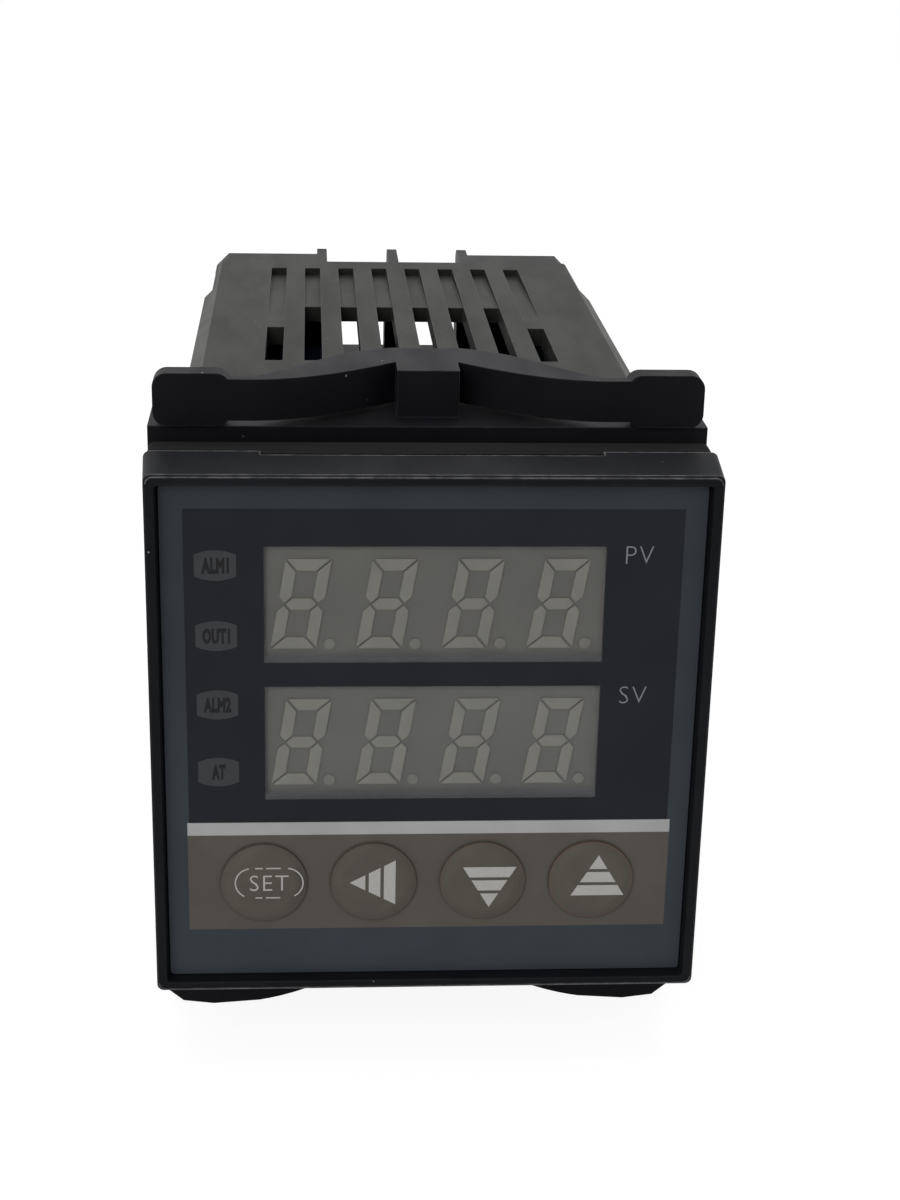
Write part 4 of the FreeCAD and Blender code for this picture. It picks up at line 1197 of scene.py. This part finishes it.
@dataclass(frozen=True)
class KeyPrint:
    """One key: its printed mark, the finish of its cap and the way its arrow points."""

    mark: KeyMark
    ring: Colour
    heading: Vector = Vector((0.0, 0.0, 0.0))
    shift: Vector = Vector((0.0, 0.0, 0.0))
    base: Colour = shade(78, 74, 68)
    cast: Colour = shade(82, 78, 71)
    ring_span: tuple[float, float] = (3.2 * MM, 3.7 * MM)
    dome: float = 3.0 * MM
    dome_edge: float = 0.75 * MM
    dome_depth: float = 0.09 * MM

    def cap(self, middle: Vector) -> Material:
        """The cap's finish: the strip's colour, with a darker pressed ring at its edge.

        Args:
            middle: The middle of the key's front.

        Returns:
            The material.
        """
        bench = NodeBench(f"{self.mark.value}_key_finish")
        across, _, up = bench.axes()
        side = bench.calc("SUBTRACT", across, middle.x)
        rise = bench.calc("SUBTRACT", up, middle.z)
        reach = bench.distance(side, rise)
        ring = bench.step(reach, *self.ring_span)
        colour = bench.blend(bench.drift(2 * MM, 3), self.base, self.cast)
        swell = bench.within(reach, self.dome, self.dome_edge)
        speckle = bench.product(bench.noise(FILM_TOOTH, 2), 0.02)
        return bench.surface(
            Base_Color=bench.blend(ring, colour, self.ring),
            Roughness=bench.drift(FILM_WAVE, 4, *FILM_ROUGHNESS),
            Specular_IOR_Level=FILM_GLOSS,
            Normal=bench.relief(bench.calc("ADD", swell, speckle), self.dome_depth),
        )


@dataclass
class KeyRow:
    """The four round keys under the displays, and what is printed on them."""

    keys: tuple[KeyPrint, ...] = (
        KeyPrint(KeyMark.LEGEND, shade(77, 72, 66)),
        KeyPrint(KeyMark.LEFT, shade(78, 72, 65), Vector((-1, 0, 0)), Vector((-0.1 * MM, 0, 0.1 * MM))),
        KeyPrint(KeyMark.DOWN, shade(82, 73, 66), Vector((0, 0, -1)), Vector((0.58 * MM, 0, -0.45 * MM))),
        KeyPrint(KeyMark.UP, shade(84, 73, 66), Vector((0, 0, 1)), Vector((0.58 * MM, 0, 0.6 * MM))),
    )
    ink: PrintInk = PrintInk("key_mark_finish", shade(163, 162, 158), shade(158, 157, 153))
    web: PrintInk = PrintInk("key_web_finish", shade(77, 71, 64), shade(73, 68, 61))
    plunger: MouldedPlastic = MouldedPlastic("plunger_finish", shade(40, 40, 40), shade(48, 48, 47))
    cap_radius: float = 3.7 * MM
    ink_rise: float = 0.012 * MM
    sink: float = 0.04 * MM
    outline_radius: float = 1.42 * MM
    outline_half: float = 1.5 * MM
    line: float = 0.12 * MM
    legend_shift: tuple[float, float] = (0.46 * MM, 0.15 * MM)
    # Each arc's name, side, first angle and sweep in degrees.
    arcs: tuple[tuple[str, int, float, float], ...] = (
        ("right_arc", 1, -62, 146),
        ("left_arc", -1, 100, 142),
    )
    # Each dash's two ends in millimetres, and 1 above the word or -1 below it.
    dashes: tuple[tuple[float, float, int], ...] = (
        (-1.2, -0.55, 1), (-0.25, 1.0, 1),
        (-1.2, -0.6, -1), (-0.3, 0.95, -1),
    )
    word_size: tuple[float, float] = (3.35 * MM, 1.5 * MM)
    word_weight: float = -0.012
    web_depth: float = 0.16 * MM
    web_sink: float = 0.015 * MM
    web_clearance: float = 0.01 * MM
    web_width: float = 0.14 * MM
    arrow_tip: float = 1.36 * MM
    arrow_gap: float = 0.3 * MM
    arrow_bar: float = 1.01 * MM
    side_slope: float = 0.535
    upright_slope: float = 0.6
    upright_share: float = 0.98

    @property
    def ink_depth(self) -> float:
        """The ink's thickness, from just under the key's skin to its own face."""
        return self.ink_rise + self.sink

    def build(self) -> None:
        """Dresses the keys and prints their marks."""
        ink = self.ink.build()
        plunger = self.plunger.build()
        webs = []
        for key in self.keys:
            name = key.mark.value
            low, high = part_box(f"{name}_key")
            middle = Vector(((low.x + high.x) / 2, low.y, (low.z + high.z) / 2))
            dress(f"{name}_key", key.cap(middle))
            dress(f"{name}_plunger", plunger)
            mark = self.legend(middle) if key.mark is KeyMark.LEGEND else self.arrow(key, middle)
            fit(mark, f"{name}_key", ink)
            webs.append(self.web_ring(middle))
        fit(Bench.gather("key_webs", webs), "chassis", self.web.build())

    def web_ring(self, middle: Vector) -> Piece:
        """The thin pressed web of film that closes the gap round one key.

        Args:
            middle: The middle of the key's front.

        Returns:
            The ring.
        """
        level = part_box("front_film")[0].y + self.web_sink + self.web_depth
        radius = self.cap_radius + self.web_clearance + self.web_width / 2
        centre = Vector((middle.x, level, middle.z))
        ring = Bench.arc("key_web", centre, radius, self.web_width, 0, 360)
        Bench.thicken(ring, self.web_depth)
        return ring

    def finish_mark(self, name: str, sheets: list[Piece]) -> Piece:
        """Joins flat strokes and gives them the ink's thickness.

        Args:
            name: The mark's name.
            sheets: The flat strokes.

        Returns:
            The printed mark.
        """
        mark = Bench.gather(name, sheets)
        Bench.thicken(mark, self.ink_depth)
        return mark

    def legend(self, middle: Vector) -> Piece:
        """The broken outline and the word on the first key.

        Args:
            middle: The middle of the key's front.

        Returns:
            The mark.
        """
        across, up = self.legend_shift
        heart = middle + Vector((across, self.sink, up))
        sheets = []
        for name, side, begin, sweep in self.arcs:
            bend = heart + Vector((side * self.outline_half, 0.0, 0.0))
            sheets.append(Bench.arc(name, bend, self.outline_radius, self.line, begin, sweep))
        for start, end, side in self.dashes:
            level = heart + Vector((0.0, 0.0, side * self.outline_radius))
            ends = (level + Vector((reach * MM, 0, 0)) for reach in (start, end))
            sheets.append(Bench.taper("dash", *ends, self.line, self.line))
        outline = self.finish_mark("set_outline", sheets)
        length, height = self.word_size
        word = Bench.lettering("SET", heart, (length, self.ink_depth, height), self.word_weight)
        return Bench.gather("set_mark", [outline, word])

    def arrow(self, key: KeyPrint, middle: Vector) -> Piece:
        """An arrow cut into a tip and two bars.

        Args:
            key: The key it is for.
            middle: The middle of the key's front.

        Returns:
            The mark.
        """
        is_upright = key.heading.z != 0
        share = self.upright_share if is_upright else 1.0
        slope = self.upright_slope if is_upright else self.side_slope
        length = share * (self.arrow_tip + 2 * self.arrow_gap + 2 * self.arrow_bar)
        tip = middle + key.shift + key.heading * (length / 2) + Vector((0, self.sink, 0))
        sheets = []
        reach = 0.0
        for size in (self.arrow_tip, self.arrow_bar, self.arrow_bar):
            far = reach + size * share
            ends = (tip - key.heading * far, tip - key.heading * reach)
            sheets.append(Bench.taper("stroke", *ends, 2 * slope * far, 2 * slope * reach))
            reach = far + self.arrow_gap * share
        return self.finish_mark(f"{key.mark.value}_mark", sheets)


@dataclass
class Electronics(SubAssembly):
    """The boards inside the case and what is soldered to them."""

    board: CircuitBoard = CircuitBoard("board_finish")
    chip: MouldedPlastic = MouldedPlastic("chip_finish", (0.012, 0.012, 0.013), (0.02, 0.02, 0.021))
    black: MouldedPlastic = MouldedPlastic("switch_finish", (0.01, 0.01, 0.01), (0.016, 0.016, 0.016))
    header: PlatedMetal = PlatedMetal("header_finish", (0.72, 0.66, 0.5), (0.5, 0.46, 0.36))
    can: PlatedMetal = PlatedMetal("can_finish", (0.66, 0.66, 0.66), (0.5, 0.5, 0.5))
    ferrite: MouldedPlastic = MouldedPlastic("ferrite_finish", (0.03, 0.028, 0.027), (0.045, 0.042, 0.04))
    bobbin: MouldedPlastic = MouldedPlastic("bobbin_finish", (0.02, 0.02, 0.02), (0.03, 0.03, 0.03))
    tape: WoundWire = WoundWire("winding_finish", (0.72, 0.46, 0.08), (0.4, 0.22, 0.03))
    sleeve: MouldedPlastic = MouldedPlastic(
        "capacitor_sleeve_finish", (0.012, 0.02, 0.06), (0.02, 0.03, 0.08)
    )
    film: MouldedPlastic = MouldedPlastic("film_capacitor_finish", (0.5, 0.3, 0.03), (0.6, 0.38, 0.05))
    relay: MouldedPlastic = MouldedPlastic("relay_finish", (0.02, 0.1, 0.32), (0.03, 0.13, 0.38))

    def groups(self) -> Dressed:
        """Pairs each finish with its solids.

        Returns:
            Each finish with the boards or components that wear it.
        """
        chips = (
            "segment_drivers", "bridge_rectifier", "voltage_regulator",
            "microcontroller", "input_converter", "memory_chip",
        )
        return (
            (self.board, ("display_board", "power_board", "control_board")),
            (self.chip, chips),
            (self.black, ("switch_bodies",)),
            (self.header, ("board_headers",)),
            (self.can, ("crystal",)),
            (self.ferrite, ("transformer_core",)),
            (self.bobbin, ("transformer_bobbin",)),
            (self.tape, ("transformer_winding",)),
            (self.sleeve, ("supply_capacitors",)),
            (self.film, ("film_capacitor",)),
            (self.relay, ("output_relay", "alarm_relays")),
        )


# ---- Studio ----


@dataclass(frozen=True)
class Lamp:
    """A soft rectangular lamp that points at the object."""

    name: str
    place: tuple[float, float, float]
    side: float
    power: float


@dataclass
class Studio:
    """A pale floor, a plain white surround, soft lamps and the camera."""

    lamps: tuple[Lamp, ...] = (
        Lamp("top_lamp", (0.0, 0.25, 0.9), 0.8, 5.0),
        Lamp("front_lamp", (-0.5, -0.9, 0.7), 0.7, 6.5),
    )
    surround: float = 0.45
    white: float = 1.0
    floor_side: float = 6.0
    floor_blotch: float = 0.4
    floor_grain: float = 0.05
    floor_paint: tuple[Colour, Colour] = ((0.8, 0.8, 0.8), (0.84, 0.84, 0.84))
    floor_glow: float = 0.91
    floor_shade: Colour = (0.15, 0.15, 0.15)
    target: tuple[float, float, float] = (0.0, 0.04, 0.0)
    eye: Vector = Vector((-10.209, -173.424, 74.017)) * MM
    yaw: float = 4.002
    pitch: float = 20.334
    roll: float = 1.310
    focal: float = 63.908
    sensor: float = 36.0

    def build(self) -> None:
        """Sets the scene round the object."""
        self.set_world()
        self.lay_floor()
        self.hang_lamps()
        self.place_camera()

    def set_world(self) -> None:
        """Surrounds the object with plain white, which lights it at a lower level."""
        bench = NodeBench("surround", is_world=True)
        level = bench.add("MapRange", bench.seen(), 0.0, 1.0, self.surround, self.white)
        sky = bench.add("Background", (1.0, 1.0, 1.0), level.outputs["Result"])
        bpy.context.scene.world = bench.close(sky)

    def lay_floor(self) -> None:
        """Lays a pale floor that keeps the object's shadow."""
        Bench.clear()
        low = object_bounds()[0]
        bpy.ops.mesh.primitive_plane_add(size=self.floor_side, location=(0.0, 0.0, low[2]))
        floor = bpy.context.object
        floor.name = "floor"
        Bench.settle(floor)
        bench = NodeBench("floor_finish")
        paint = bench.add(
            "BsdfPrincipled",
            Base_Color=bench.blend(bench.noise(self.floor_blotch), *self.floor_paint),
            Roughness=bench.drift(self.floor_grain, 2, 0.7, 0.8),
            Specular_IOR_Level=0.1,
        )
        shaded = bench.add("BsdfDiffuse", Color=self.floor_shade)
        glow = bench.add("Emission", Strength=self.floor_glow)
        pale = bench.add("AddShader", shaded.outputs[0], glow.outputs[0])
        both = bench.add("MixShader", bench.seen(), paint.outputs[0], pale.outputs[0])
        floor.data.materials.append(bench.close(both))
        floor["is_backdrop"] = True

    def hang_lamps(self) -> None:
        """Hangs the soft lamps, each turned towards the object."""
        for lamp in self.lamps:
            data = bpy.data.lights.new(lamp.name, "AREA")
            data.energy = lamp.power
            data.size = lamp.side
            light = bpy.data.objects.new(lamp.name, data)
            bpy.context.scene.collection.objects.link(light)
            place = Vector(lamp.place)
            light.location = place
            light.rotation_euler = (Vector(self.target) - place).to_track_quat("-Z", "Y").to_euler()

    def place_camera(self) -> None:
        """Puts the camera in front of and above the object."""
        yaw, pitch, roll = (math.radians(angle) for angle in (self.yaw, self.pitch, self.roll))
        turns = ((-yaw, "Z"), (math.pi / 2 - pitch, "X"), (roll, "Z"))
        stand = Matrix.Translation(self.eye)
        for angle, axis in turns:
            stand = stand @ Matrix.Rotation(angle, 4, axis)
        data = bpy.data.cameras.new("camera")
        data.sensor_fit = "VERTICAL"
        data.sensor_height = self.sensor
        data.lens = self.focal
        data.clip_start = 0.01
        camera = bpy.data.objects.new("camera", data)
        bpy.context.scene.collection.objects.link(camera)
        camera.matrix_world = stand
        bpy.context.scene.camera = camera
        bpy.context.scene.view_settings.view_transform = "Standard"


def main() -> None:
    """Builds the dressed controller and its studio, in order."""
    logging.basicConfig(level=logging.INFO, format="%(message)s")
    bpy.ops.wm.read_factory_settings(use_empty=True)
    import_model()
    assemblies = (Housing(), RearTerminals(), Displays(), FrontFilm(), KeyRow(), Electronics())
    for assembly in assemblies:
        assembly.build()
        LOG.info("built %s", type(assembly).__name__)
    Studio().build()


if __name__ == "__main__":
    main()
